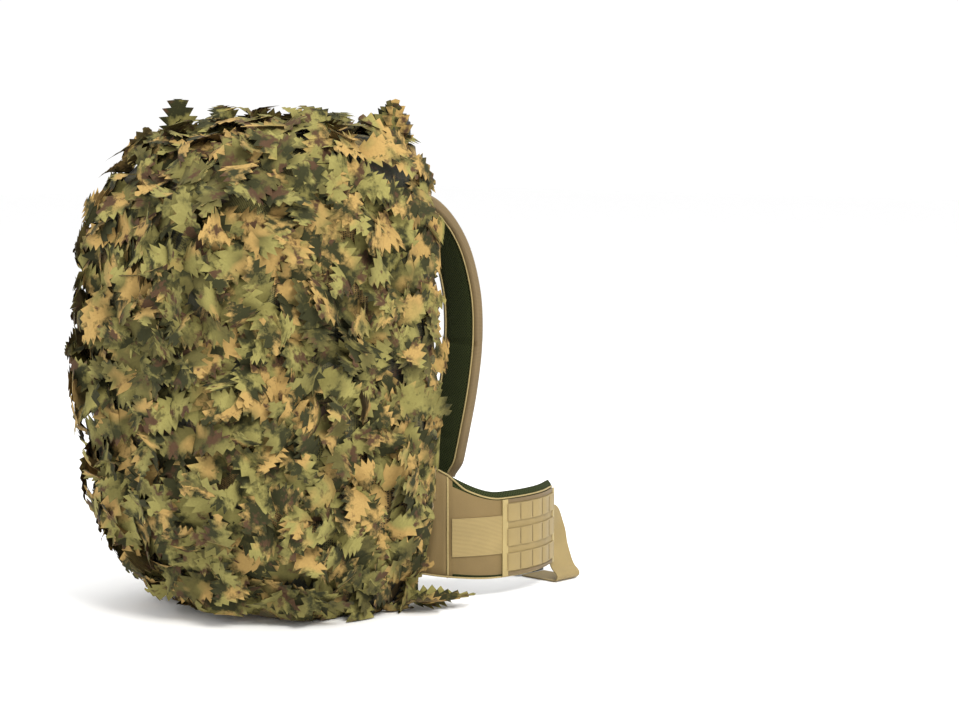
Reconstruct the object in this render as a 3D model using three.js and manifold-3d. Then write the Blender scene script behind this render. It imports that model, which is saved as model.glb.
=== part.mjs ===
// A full rucksack that stands on its base, under a leaf camouflage cover.
// Millimetres, +Z up. The rucksack's front faces -Y, its harness faces +Y, the wearer's right is +X.
// The origin is on the floor, on the rucksack's middle plane.
import * as THREE from 'three';
import { mergeVertices } from 'three/addons/utils/BufferGeometryUtils.js';
import Module from 'manifold-3d';

const wasm = await Module();
wasm.setup();

// ---- Clearances ----
const GAP = 0.45;           // between pieces that touch
const COVER_EASE = 1.0;     // between the rucksack and the cover's lining
const SWING_GAP = 7;        // beside a wing's root, so that it can swing

// ---- Rucksack ----
const PACK_HALF_WIDTH = 200;
const PACK_FRONT = 208;     // from the origin to the foremost point
const PACK_BACK = 130;      // from the origin to the bag's flat back
const PACK_TOP = 664;
const BASE_SAG = 34;        // how far the round base would reach below the floor
const POCKET_INSET = 7;     // pockets and lid stand this far inside the base's outline
const CORE_INSET = 30;      // the main bag inside its pockets
const BASE_HEIGHT = 104;
const LID_EDGE = 560;
const BAG_TOP = 606;
const FRONT_POCKET = { width: 268, bottom: 124, top: 506, corner: 38 };
const SIDE_POCKET = { width: 176, bottom: 122, top: 420, corner: 30 };
const STRAP_THICK = 2;
const BUCKLE_THICK = 5.6;
const COMPRESSION_STRAP = { z: 474, width: 25, buckle: 44 };
const LID_STRAP = { x: 72, width: 25, bottom: 345, top: 604 };

// ---- Back ----
const STAY = { x: 58, width: 25, thick: 3, bottom: 70, top: 596 };
const SHEET_THICK = 1.5;
const SHEET_INSET = 44;
const PANEL_THICK = 8;
const PANEL_INSET = 30;
const BACK_PAD = { x: 66, width: 78, thick: 13, bottom: 246, top: 528, corner: 22 };
const LUMBAR_PAD = { width: 190, thick: 26, bottom: 98, top: 216, corner: 26 };
const HAUL_LOOP = { x: 40, drop: 44, reach: 15, z: 606, width: 20, thick: 4 };

// ---- Shoulder straps, the right one: the left is its mirror image ----
const STRAP = { width: 70, thick: 20, root: 5 };
const STRAP_ROUTE = [
  [86, 0, 566], [86, 186, 578], [91, 238, 562], [102, 278, 512], [110, 299, 440],
  [114, 300, 370], [113, 291, 300], [106, 280, 230], [98, 270, 168],
];
const STRAP_BACKING = { width: 26, thick: 2 };
const ADJUSTER = { width: 34, thick: 12, length: 26, below: 4 }; // below: under the strap's end
const LOWER_WEBBING = { width: 20, inset: 11, z: 58 }; // inset: from the lumbar pad's edge
const LIFTER = { width: 20, x: 70, z: 622, seat: 3, above: 9 }; // above: over the padded strap
const LIFTER_TAIL = [[92, 212, 556], [95, 224, 536], [99, 231, 500], [97, 218, 456]];

// ---- Hip belt, the right wing ----
const WING_ROOT_Y = 164;
const WING_ROUTE = [[0, 0], [38, 14], [72, 36], [102, 84], [113, 140], [108, 190], [88, 238]];
const WING_THICK = 14;
const WING_ROOT = { bottom: 40, top: 214 };
const WING_END = { bottom: 28, top: 153 };
const WING_TAPER_END = 0.55; // share of the wing's length at which it reaches its end height
const SLEEVE = { thick: 3, bottom: 32, top: 141, start: 0.56 };
const BAND = { thick: 2.4, width: 55, z: 92, start: 0.3, end: 0.55 };
const BELT = { width: 50, thick: 2.2, z: 90, lie: 455, tail_x: 207, end_x: 136 };
const BELT_BUCKLE = { length: 58, width: 58, thick: 11, slack: 3 };

// ---- Cover ----
const LINING_THICK = 0.6;
const MESH_THICK = 1.2;
const LEAF_LAYER = 18;
const COVER_BACK = 150;
const FRONT_ZONE = -95;     // leaf layer: everything ahead of this is the front zone
const TOP_ZONE = 560;       // and above this the top zone
const HEM = { depth: 11, reach_in: 14 };
const DRAWCORD_RADIUS = 1.5;
const CORD_LOCK = { x: 122, radius: 9, height: 20, floor: 3 };
const BUTTON = { radius: 6.2, stand_out: 7, length: 13 };
const SPRING = { wire: 0.5, turns: 3 };
const CORD_LOOP = { drop: 46, half_gap: 7 };

// ---- How finely round shapes are drawn ----
const RING_SIDES = 28;
const DOME_RINGS = 6;
const CORNER_STEPS = 3;

// ---- Colours ----
const TAN = '#8f7a4c';
const DARK_MESH = '#262c18';
const BLACK = '#1c1d1b';
const OLIVE = '#4a5235';
const LEAF_GREEN = '#77783f';

const group = new THREE.Group();

function part(name, geometry, color, roughness = 0.9, metalness = 0) {
  const material = new THREE.MeshStandardMaterial({ color, roughness, metalness });
  const mesh = new THREE.Mesh(geometry, material);
  mesh.name = name;
  group.add(mesh);
}

// ---- Joining and cutting ----
function solid(geometry) {
  const bare = geometry.clone();
  bare.deleteAttribute('normal');
  bare.deleteAttribute('uv');
  const merged = mergeVertices(bare, 1e-4);
  return new wasm.Manifold(new wasm.Mesh({
    numProp: 3,
    vertProperties: merged.attributes.position.array,
    triVerts: new Uint32Array(merged.index.array),
  }));
}

function geometryOf(manifold) {
  const mesh = manifold.getMesh();
  const geometry = new THREE.BufferGeometry();
  geometry.setAttribute('position', new THREE.BufferAttribute(mesh.vertProperties, 3));
  geometry.setIndex(new THREE.BufferAttribute(mesh.triVerts, 1));
  return geometry;
}

// ---- The rucksack's round outline ----
// It is a dome that lies on its side: round at the front, flat at the back. Its cross-section
// across Y is a rounded oblong that only grows towards the back, so a cover can be pulled off forward.
const OUTLINE_LOW = -BASE_SAG;
const CENTRE_Z = (PACK_TOP + OUTLINE_LOW) / 2;
const HALF_HEIGHT = (PACK_TOP - OUTLINE_LOW) / 2;
const FRONT_POWER = 3.4;    // how square the dome is seen from the side
const SQUARE_TOP = { front: 3.6, back: 5 };   // how square the upper half of its cross-section is
const SQUARE_LOW = { front: 1.9, back: 3.4 }; // and its lower half
const FRONT_TUCK = 0.28;    // how much of its depth the front loses down at the base

const TINY = 1e-9;

function rounded(value, power) {
  return Math.abs(value) < TINY ? 0 : Math.sign(value) * Math.abs(value) ** (2 / power);
}

// Moves a point of a lathed unit shape (radius 0 to 1 round Y) onto the outline grown by `grow`.
function ontoOutline(point, grow) {
  const radius = Math.hypot(point.x, point.z);
  const angle = Math.atan2(point.z, point.x);
  const square = Math.sin(angle) > 0 ? SQUARE_TOP : SQUARE_LOW;
  const power = square.front + (square.back - square.front) * radius ** 4;
  point.x = (PACK_HALF_WIDTH + grow) * radius * rounded(Math.cos(angle), power);
  point.z = CENTRE_Z + (HALF_HEIGHT + grow) * radius * rounded(Math.sin(angle), power);
  const lowness = Math.max(0, (CENTRE_Z - point.z) / HALF_HEIGHT);
  const ahead = Math.max(0, PACK_BACK - point.y);
  point.y += ahead * FRONT_TUCK * lowness ** 2.5;
}

function lathed(profile, growAt) {
  const outline = profile.map(([radius, y]) => new THREE.Vector2(radius, y));
  const geometry = new THREE.LatheGeometry(outline, RING_SIDES);
  const position = geometry.attributes.position;
  const point = new THREE.Vector3();
  for (let i = 0; i < position.count; i += 1) {
    point.fromBufferAttribute(position, i);
    ontoOutline(point, growAt(i % outline.length));
    position.setXYZ(i, point.x, point.y, point.z);
  }
  return geometry;
}

// The dome is widest at the bag's flat back, and goes straight on from there to `reach`.
function dome(grow, reach = PACK_BACK) {
  const profile = [];
  const depth = PACK_FRONT + grow + PACK_BACK;
  for (let ring = 0; ring <= DOME_RINGS; ring += 1) {
    const turn = (ring / DOME_RINGS) * (Math.PI / 2);
    const radius = Math.sin(turn) ** (2 / FRONT_POWER);
    const ahead = depth * Math.cos(turn) ** (2 / FRONT_POWER);
    profile.push([ring === 0 ? 0 : radius, PACK_BACK - ahead]);
  }
  profile[DOME_RINGS] = [1, PACK_BACK];
  if (reach > PACK_BACK) profile.push([1, reach]);
  profile.push([0, reach]);
  return solid(lathed(profile, () => grow));
}

// A flat plate of the outline's shape, standing across Y.
function plate(grow, front, back) {
  return solid(lathed([[0, front], [1, front], [1, back], [0, back]], () => grow));
}

// ---- Blocks ----
function block(low, high) {
  const size = high.map((value, axis) => value - low[axis]);
  const geometry = new THREE.BoxGeometry(...size);
  geometry.translate(...low.map((value, axis) => value + size[axis] / 2));
  return solid(geometry);
}

const FAR = 900;
const aboveFloor = () => block([-FAR, -FAR, 0], [FAR, FAR, FAR]);

// A round-cornered tablet, `width` by (top - bottom), standing across Y from `front` to `back`.
function tablet({ width, bottom, top, corner }, x, front, back) {
  const half = width / 2;
  const shape = new THREE.Shape();
  shape.moveTo(-half + corner, bottom);
  shape.lineTo(half - corner, bottom);
  shape.absarc(half - corner, bottom + corner, corner, -Math.PI / 2, 0);
  shape.absarc(half - corner, top - corner, corner, 0, Math.PI / 2);
  shape.absarc(-half + corner, top - corner, corner, Math.PI / 2, Math.PI);
  shape.absarc(-half + corner, bottom + corner, corner, Math.PI, Math.PI * 1.5);
  const options = { depth: back - front, bevelEnabled: false, curveSegments: CORNER_STEPS };
  const geometry = new THREE.ExtrudeGeometry(shape, options);
  geometry.rotateX(Math.PI / 2);
  geometry.translate(x, back, 0);
  return geometry;
}

// ---- Straps and pads: a box bent along a curve ----
// points: the route. across(t): the direction of the strap's width. edges(t): its two edges, measured
// from the route along that direction. lift: how far the strap's middle stands off the route.
function bent({ points, across, edges, thick, steps, lift = 0, from = 0, to = 1 }) {
  const curve = new THREE.CatmullRomCurve3(points.map((p) => new THREE.Vector3(...p)));
  const geometry = new THREE.BoxGeometry(1, 1, 1, steps, 1, 1);
  const position = geometry.attributes.position;
  for (let i = 0; i < position.count; i += 1) {
    const t = from + (to - from) * (position.getX(i) + 0.5);
    const along = curve.getTangentAt(t);
    const side = new THREE.Vector3(...across(t));
    side.addScaledVector(along, -side.dot(along)).normalize();
    const face = new THREE.Vector3().crossVectors(along, side);
    const [low, high] = edges(t);
    const point = curve.getPointAt(t);
    point.addScaledVector(side, position.getY(i) < 0 ? low : high);
    point.addScaledVector(face, lift + position.getZ(i) * thick);
    position.setXYZ(i, point.x, point.y, point.z);
  }
  return geometry;
}

const even = (width) => () => [-width / 2, width / 2];

// ---- Sides: right as written, left mirrored ----
const SIDES = [['right', 1], ['left', -1]];

function onSide(geometry, sign) {
  if (sign === 1) return geometry;
  const mirrored = geometry.index ? geometry.toNonIndexed() : geometry.clone();
  const position = mirrored.attributes.position;
  for (let i = 0; i < position.count; i += 3) {
    const a = new THREE.Vector3().fromBufferAttribute(position, i);
    const b = new THREE.Vector3().fromBufferAttribute(position, i + 1);
    const c = new THREE.Vector3().fromBufferAttribute(position, i + 2);
    position.setXYZ(i, -a.x, a.y, a.z);
    position.setXYZ(i + 1, -c.x, c.y, c.z);
    position.setXYZ(i + 2, -b.x, b.y, b.z);
  }
  mirrored.deleteAttribute('normal');
  mirrored.deleteAttribute('uv');
  return mirrored;
}

function pair(name, geometry, color, roughness, metalness) {
  for (const [side, sign] of SIDES) {
    part(`${name}_${side}`, onSide(geometry, sign), color, roughness, metalness);
  }
}

// ---- Rucksack pieces ----
const core = dome(-CORE_INSET);
const aroundCore = dome(GAP - CORE_INSET, FAR);
const pockets = dome(-POCKET_INSET);

function mainBag() {
  const room = block([-FAR, -FAR, BASE_HEIGHT + GAP], [FAR, FAR, BAG_TOP]);
  return geometryOf(core.intersect(room));
}

function baseCompartment() {
  const room = block([-FAR, -FAR, 0], [FAR, FAR, BASE_HEIGHT]);
  return geometryOf(dome(0).intersect(room));
}

function lid() {
  const cap = pockets.intersect(block([-FAR, -FAR, LID_EDGE], [FAR, FAR, FAR]));
  const bagRoom = block([-FAR, -FAR, 0], [FAR, FAR, BAG_TOP + GAP]);
  return geometryOf(cap.subtract(aroundCore.intersect(bagRoom)));
}

function frontPocket() {
  const cutter = solid(tablet(FRONT_POCKET, 0, -FAR, -SIDE_POCKET.width / 2 - GAP));
  return geometryOf(pockets.intersect(cutter).subtract(aroundCore));
}

function sidePocket() {
  const outline = tablet(SIDE_POCKET, 0, 0, FAR);
  outline.rotateZ(-Math.PI / 2);
  return geometryOf(pockets.intersect(solid(outline)).subtract(aroundCore));
}

// A band that lies on the outline shrunk by `inset`, cut to a box.
function band(inset, thick, low, high) {
  const skin = dome(thick - inset).subtract(dome(-inset, FAR));
  return skin.intersect(block(low, high));
}

function compressionStrap() {
  const { z, width, buckle } = COMPRESSION_STRAP;
  const front = -SIDE_POCKET.width / 2;
  const inset = CORE_INSET - 2 * GAP;
  const half = width / 2;
  const strap = band(inset, STRAP_THICK, [0, front, z - half], [FAR, PACK_BACK - GAP, z + half]);
  const room = [[0, -buckle / 2 - GAP, z - width], [FAR, buckle / 2 + GAP, z + width]];
  const parts = strap.subtract(block(...room)).decompose();
  const byPlace = parts.sort((a, b) => a.boundingBox().min[1] - b.boundingBox().min[1]);
  const grip = half + 5;
  const body = band(inset, BUCKLE_THICK, [0, -buckle / 2, z - grip], [FAR, buckle / 2, z + grip]);
  return { front: byPlace[0], back: byPlace[1], buckle: body };
}

function lidStrap() {
  const { x, width, bottom, top } = LID_STRAP;
  const inset = POCKET_INSET - 2 * GAP;
  const half = width / 2;
  return geometryOf(band(inset, STRAP_THICK, [x - half, -FAR, bottom], [x + half, 0, top]));
}

part('main_bag', mainBag(), TAN);
part('base_compartment', baseCompartment(), TAN);
part('lid', lid(), TAN);
part('front_pocket', frontPocket(), TAN);
pair('side_pocket', sidePocket(), TAN);
const compression = compressionStrap();
pair('compression_strap', geometryOf(compression.front), TAN);
pair('compression_strap_end', geometryOf(compression.back), TAN);
pair('compression_buckle', geometryOf(compression.buckle), BLACK, 0.5);
pair('lid_strap', lidStrap(), TAN);

// ---- Back pieces, each behind the one before ----
const stayFront = PACK_BACK + GAP;
const sheetFront = stayFront + STAY.thick + GAP;
const panelFront = sheetFront + SHEET_THICK + GAP;
const panelBack = panelFront + PANEL_THICK;
const padFront = panelBack + GAP;

function stay() {
  const half = STAY.width / 2;
  const low = [STAY.x - half, stayFront, STAY.bottom];
  return geometryOf(block(low, [STAY.x + half, stayFront + STAY.thick, STAY.top]));
}

function haulLoop() {
  const { x, drop, reach, z, width, thick } = HAUL_LOOP;
  const near = padFront + width / 2;
  const out = near + reach;
  const points = [[-x, near, z], [-x * 0.95, near + reach / 2, z - drop * 0.45],
    [-x * 0.5, out, z - drop * 0.9], [0, out, z - drop], [x * 0.5, out, z - drop * 0.9],
    [x * 0.95, near + reach / 2, z - drop * 0.45], [x, near, z]];
  return bent({ points, across: () => [0, 1, 0], edges: even(width), thick, steps: 12 });
}

pair('stay', stay(), '#b9bcc0', 0.35, 1);
const sheet = plate(-SHEET_INSET, sheetFront, sheetFront + SHEET_THICK);
part('frame_sheet', geometryOf(sheet), BLACK, 0.5);
part('back_panel', geometryOf(plate(-PANEL_INSET, panelFront, panelBack)), TAN);
pair('back_pad', tablet(BACK_PAD, BACK_PAD.x, padFront, padFront + BACK_PAD.thick), DARK_MESH);
part('lumbar_pad', tablet(LUMBAR_PAD, 0, padFront, padFront + LUMBAR_PAD.thick), DARK_MESH);
part('haul_loop', haulLoop(), TAN);

// ---- Shoulder straps ----
const strapRoute = STRAP_ROUTE.map(([x, y, z], i) => [x, i === 0 ? padFront + STRAP.root : y, z]);
const acrossX = () => [-1, 0, 0];
const strapEnd = strapRoute[strapRoute.length - 1];
const backingLift = STRAP.thick / 2 + 2 * GAP + STRAP_BACKING.thick / 2;

function shoulderStrap() {
  return bent({ points: strapRoute, across: acrossX, edges: even(STRAP.width), thick: STRAP.thick, steps: 16 });
}

function strapBacking() {
  return bent({
    points: strapRoute, across: acrossX, edges: even(STRAP_BACKING.width), thick: STRAP_BACKING.thick,
    steps: 14, lift: backingLift, from: 0.12, to: 1,
  });
}

function adjuster() {
  const [x, y, z] = strapEnd;
  const { width, thick, length } = ADJUSTER;
  const top = z - ADJUSTER.below;
  return geometryOf(block([x - width / 2, y - thick / 2, top - length], [x + width / 2, y + thick / 2, top]));
}

const lowerWebbingX = LUMBAR_PAD.width / 2 - LOWER_WEBBING.inset;

function lowerWebbing() {
  const [x, y, z] = strapEnd;
  const start = [x, y - 1, z - 2 * ADJUSTER.below - ADJUSTER.length];
  const anchor = [lowerWebbingX, padFront + STRAP_THICK / 2 + GAP, LOWER_WEBBING.z];
  const points = [start, [x - 3, y - 14, start[2] - 16], [lowerWebbingX + 4, y - 62, start[2] - 44], anchor];
  return bent({ points, across: acrossX, edges: even(LOWER_WEBBING.width), thick: STRAP_THICK, steps: 10 });
}

function loadLifter() {
  const [x, y, z] = strapRoute[2];
  const end = [x, y - 4, z + STRAP.thick / 2 + LIFTER.above];
  const points = [[LIFTER.x, padFront + LIFTER.seat, LIFTER.z], [LIFTER.x + 8, padFront + 34, LIFTER.z - 12], end];
  return bent({ points, across: acrossX, edges: even(LIFTER.width), thick: STRAP_THICK, steps: 6 });
}

function lifterTail() {
  return bent({ points: LIFTER_TAIL, across: acrossX, edges: even(LIFTER.width), thick: STRAP_THICK, steps: 6 });
}

pair('shoulder_strap', shoulderStrap(), TAN);
pair('strap_backing', strapBacking(), TAN);
pair('strap_adjuster', adjuster(), BLACK, 0.5);
pair('lower_webbing', lowerWebbing(), TAN);
pair('load_lifter', loadLifter(), TAN);
pair('lifter_tail', lifterTail(), TAN);

// ---- Hip belt ----
const wingRootX = LUMBAR_PAD.width / 2 + SWING_GAP;
const wingRoute = WING_ROUTE.map(([x, y]) => [wingRootX + x, WING_ROOT_Y + y, 0]);
const acrossZ = () => [0, 0, 1];

function wingEdges(t) {
  const ease = Math.min(1, t / WING_TAPER_END);
  const blend = ease * ease * (3 - 2 * ease);
  const bottom = WING_ROOT.bottom + (WING_END.bottom - WING_ROOT.bottom) * blend;
  return [bottom, WING_ROOT.top + (WING_END.top - WING_ROOT.top) * blend];
}

function hipWing() {
  return bent({ points: wingRoute, across: acrossZ, edges: wingEdges, thick: WING_THICK, steps: 14 });
}

function onWing(thick, edges, from, to, steps) {
  const lift = WING_THICK / 2 + GAP + thick / 2;
  return bent({ points: wingRoute, across: acrossZ, edges: () => edges, thick, steps, lift, from, to });
}

function beltWebbing() {
  const [endX, endY] = wingRoute[wingRoute.length - 1];
  const { z, lie, tail_x: tail, end_x: end, width, thick } = BELT;
  const rest = thick / 2 + 0.3;
  const y = lie - width / 2;
  const points = [
    [endX - 2.5, endY + 6.5, z], [endX - 7, endY + 18, z - 3], [endX - 10, y - 3, z - 20],
    [endX - 5, y, z - 46], [endX + 6, y, z - 70], [tail - 3, y, 13], [tail, y, 8],
    [tail - 4, y, rest + 0.8], [tail - 20, y, rest], [end, y, rest],
  ];
  const twist = (t) => Math.min(1, t / 0.28) * (Math.PI / 2);
  const across = (t) => [0, Math.sin(twist(t)), Math.cos(twist(t))];
  return bent({ points, across, edges: even(width), thick, steps: 26 });
}

function beltBuckle() {
  const { length, width, thick } = BELT_BUCKLE;
  const y = BELT.lie - BELT.width / 2;
  const inner = BELT.end_x - BELT_BUCKLE.slack;
  return block([inner - length, y - width / 2, 0.3], [inner, y + width / 2, 0.3 + thick]);
}

pair('hip_wing', hipWing(), TAN);
pair('webbing_sleeve', onWing(SLEEVE.thick, [SLEEVE.bottom, SLEEVE.top], SLEEVE.start, 1, 10), TAN);
const bandEdges = [BAND.z - BAND.width / 2, BAND.z + BAND.width / 2];
pair('wing_band', onWing(BAND.thick, bandEdges, BAND.start, BAND.end, 6), TAN);
pair('belt_webbing', beltWebbing(), TAN);
part('belt_buckle_plug', geometryOf(beltBuckle()), BLACK, 0.5);
part('belt_buckle_socket', onSide(geometryOf(beltBuckle()), -1), BLACK, 0.5);

// ---- Cover ----
function shell(inner, thick) {
  const outside = dome(inner + thick, COVER_BACK);
  const inside = dome(inner, FAR);
  return outside.subtract(inside).intersect(aboveFloor());
}

const liningGrow = COVER_EASE;
const meshGrow = liningGrow + LINING_THICK + GAP;
const leafGrow = meshGrow + MESH_THICK + GAP;
const coverGrow = leafGrow + LEAF_LAYER;

function leafZone(low, high) {
  return geometryOf(shell(leafGrow, LEAF_LAYER).intersect(block(low, high)));
}

const hemFront = COVER_BACK + GAP;

// The gathered lip round the back opening. It folds in behind the rucksack's edge.
function hemLip() {
  const grows = [leafGrow + 2, coverGrow - 2, meshGrow, 2 * DRAWCORD_RADIUS - HEM.reach_in, -HEM.reach_in];
  const ys = [0, 3, HEM.depth, HEM.depth - 2, 4];
  const profile = ys.map((y) => [1, hemFront + y]);
  profile.push(profile[0]);
  grows.push(grows[0]);
  return geometryOf(solid(lathed(profile, (i) => grows[i])).intersect(aboveFloor()));
}

// The elastic cord lies along the lip's inner edge.
function drawcord() {
  const centre = -HEM.reach_in - GAP - DRAWCORD_RADIUS;
  const turns = [0, 1, 2, 3, 4, 5, 6].map((i) => (i % 6) * (Math.PI / 3));
  const profile = turns.map((turn) => [1, hemFront + 6 + DRAWCORD_RADIUS * Math.sin(turn)]);
  const grows = turns.map((turn) => centre + DRAWCORD_RADIUS * Math.cos(turn));
  return geometryOf(solid(lathed(profile, (i) => grows[i])).intersect(aboveFloor()));
}

part('cover_lining', geometryOf(shell(liningGrow, LINING_THICK)), OLIVE, 0.35);
part('cover_mesh', geometryOf(shell(meshGrow, MESH_THICK)), '#6f6a45');
const cut = GAP / 2;
part('leaves_front', leafZone([-FAR, -FAR, 0], [FAR, FRONT_ZONE - cut, FAR]), LEAF_GREEN);
part('leaves_top', leafZone([-FAR, FRONT_ZONE + cut, TOP_ZONE + cut], [FAR, FAR, FAR]), LEAF_GREEN);
const sideTop = TOP_ZONE - cut;
part('leaves_right', leafZone([cut, FRONT_ZONE + cut, 0], [FAR, FAR, sideTop]), LEAF_GREEN);
part('leaves_left', leafZone([-FAR, FRONT_ZONE + cut, 0], [-cut, FAR, sideTop]), LEAF_GREEN);
part('hem_lip', hemLip(), '#6f6a45');
part('hem_drawcord', drawcord(), BLACK);

// ---- Cord locks, on the top hem outside the rucksack's own outline ----
function outlineTopAt(x, grow) {
  const share = 1 - (x / (PACK_HALF_WIDTH + grow)) ** SQUARE_TOP.back;
  return CENTRE_Z + (HALF_HEIGHT + grow) * share ** (1 / SQUARE_TOP.back);
}

const lockY = hemFront + HEM.depth + CORD_LOCK.radius + 1;
const lockLow = outlineTopAt(CORD_LOCK.x, 0) + 4;
const lockHigh = lockLow + CORD_LOCK.height;
const boreRadius = BUTTON.radius + 0.3;

function turned(profile, sides) {
  const geometry = new THREE.LatheGeometry(profile.map((p) => new THREE.Vector2(...p)), sides);
  geometry.rotateX(Math.PI / 2);
  return geometry;
}

function cordLockBody() {
  const { radius, floor } = CORD_LOCK;
  const profile = [[0, lockLow], [radius, lockLow], [radius, lockHigh], [boreRadius, lockHigh],
    [boreRadius, lockLow + floor], [0, lockLow + floor]];
  const geometry = turned(profile, 16);
  geometry.translate(CORD_LOCK.x, lockY, 0);
  return geometry;
}

function cordLockButton() {
  const top = lockHigh + BUTTON.stand_out;
  const low = top - BUTTON.length;
  const cap = BUTTON.radius;
  const profile = [[0, low], [cap, low], [cap, top - 2], [cap - 2, top], [0, top]];
  const geometry = turned(profile, 16);
  geometry.translate(CORD_LOCK.x, lockY, 0);
  return geometry;
}

function cordLockSpring() {
  const low = lockLow + CORD_LOCK.floor + SPRING.wire + 0.2;
  const high = lockHigh + BUTTON.stand_out - BUTTON.length - SPRING.wire - 0.2;
  const points = [];
  const perTurn = 10;
  for (let i = 0; i <= SPRING.turns * perTurn; i += 1) {
    const turn = (i / perTurn) * 2 * Math.PI;
    const share = i / (SPRING.turns * perTurn);
    const radius = BUTTON.radius - 1.6;
    const x = CORD_LOCK.x + radius * Math.cos(turn);
    points.push(new THREE.Vector3(x, lockY + radius * Math.sin(turn), low + (high - low) * share));
  }
  return tube(points, SPRING.wire, 5, points.length - 1);
}

function tube(points, radius, sides, steps) {
  const section = new THREE.Shape();
  for (let i = 0; i < sides; i += 1) {
    const turn = (i / sides) * 2 * Math.PI;
    const place = [radius * Math.cos(turn), radius * Math.sin(turn)];
    if (i === 0) section.moveTo(...place);
    else section.lineTo(...place);
  }
  const extrudePath = new THREE.CatmullRomCurve3(points);
  return new THREE.ExtrudeGeometry(section, { steps, extrudePath, bevelEnabled: false });
}

// The end of the drawcord hangs from the lock as a loop.
function cordLoop() {
  const { drop, half_gap: half } = CORD_LOOP;
  const top = lockLow - GAP;
  const x = CORD_LOCK.x;
  const y = lockY;
  const points = [[x - half / 2, y, top], [x - half / 2, y, top - 6], [x - half, y, top - drop * 0.6],
    [x - half * 0.6, y, top - drop * 0.94], [x, y, top - drop], [x + half * 0.6, y, top - drop * 0.94],
    [x + half, y, top - drop * 0.6], [x + half / 2, y, top - 6], [x + half / 2, y, top]];
  return tube(points.map((p) => new THREE.Vector3(...p)), DRAWCORD_RADIUS, 8, 24);
}

pair('cord_lock_body', cordLockBody(), BLACK, 0.45);
pair('cord_lock_button', cordLockButton(), BLACK, 0.45);
pair('cord_lock_spring', cordLockSpring(), '#b9bcc0', 0.3, 1);
pair('cord_loop', cordLoop(), BLACK);

export default group;
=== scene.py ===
import math
import random

import bmesh
import bpy
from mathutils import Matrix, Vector, noise
from mathutils.bvhtree import BVHTree


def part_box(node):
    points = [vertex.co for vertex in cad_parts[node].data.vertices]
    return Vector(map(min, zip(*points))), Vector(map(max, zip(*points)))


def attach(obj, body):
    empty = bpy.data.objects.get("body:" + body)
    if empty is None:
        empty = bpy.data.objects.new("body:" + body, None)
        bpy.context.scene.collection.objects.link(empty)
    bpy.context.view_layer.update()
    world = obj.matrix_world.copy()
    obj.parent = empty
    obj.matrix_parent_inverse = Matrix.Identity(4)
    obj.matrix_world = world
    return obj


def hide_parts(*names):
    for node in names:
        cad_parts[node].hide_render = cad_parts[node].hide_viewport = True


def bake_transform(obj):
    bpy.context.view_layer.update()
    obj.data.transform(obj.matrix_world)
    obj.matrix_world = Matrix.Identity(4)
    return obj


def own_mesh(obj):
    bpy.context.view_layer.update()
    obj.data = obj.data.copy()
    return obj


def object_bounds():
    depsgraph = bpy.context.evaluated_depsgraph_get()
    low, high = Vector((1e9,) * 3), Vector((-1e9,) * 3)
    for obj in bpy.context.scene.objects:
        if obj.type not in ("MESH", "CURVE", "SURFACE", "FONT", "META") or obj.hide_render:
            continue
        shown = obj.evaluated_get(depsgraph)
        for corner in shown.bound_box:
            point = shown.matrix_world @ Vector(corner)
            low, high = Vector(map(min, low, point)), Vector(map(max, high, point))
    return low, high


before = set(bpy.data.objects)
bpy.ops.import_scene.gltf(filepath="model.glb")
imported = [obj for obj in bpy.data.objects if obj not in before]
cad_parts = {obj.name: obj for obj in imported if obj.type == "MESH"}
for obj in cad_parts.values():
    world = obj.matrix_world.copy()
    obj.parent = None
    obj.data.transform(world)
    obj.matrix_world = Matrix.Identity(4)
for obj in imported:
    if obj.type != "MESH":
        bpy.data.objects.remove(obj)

bl_info = {
    "name": "Camouflaged rucksack",
    "version": (1, 0, 0),
    "blender": (4, 5, 0),
    "location": "View3D > Sidebar > Rucksack",
    "description": "Builds a full rucksack under a leaf camouflage cover, in cloth, webbing and moulded plastic",
    "category": "Add Mesh",
}

CAD_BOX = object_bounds()
MM = 0.001


# ---- Sizes and colours that a user would change ----
def length(name, description, default):
    return bpy.props.FloatProperty(
        name=name, description=description, default=default, unit="LENGTH", precision=4)


def colour(name, description, default):
    return bpy.props.StringProperty(name=name, description=description, default=default)


class LeafSizes(bpy.types.PropertyGroup):
    half_length: length("Half length", "From the stitched middle of a double leaf to its tip", 74 * MM)
    half_width: length("Half width", "From the rib to the widest tooth", 27 * MM)
    spacing: length("Spacing", "Between the stitched middles of neighbouring double leaves", 31 * MM)
    stand_off: length("Stand off", "The furthest a leaf tip stands off the cover", 34 * MM)
    seed: bpy.props.IntProperty(name="Seed", description="Which arrangement of the leaves", default=11)


class ClothSizes(bpy.types.PropertyGroup):
    thread: length("Thread", "Spacing of the pack cloth's threads, drawn coarse enough to show", 0.9 * MM)
    rib: length("Webbing rib", "Spacing of the ribs across a webbing strap", 1.9 * MM)
    mesh_pitch: length("Net pitch", "Spacing of the holes in the cover's netting", 2.6 * MM)
    spacer_pitch: length(
        "Spacer pitch", "Spacing of the holes in the padded mesh, drawn coarse enough to show", 4.6 * MM)


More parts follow.
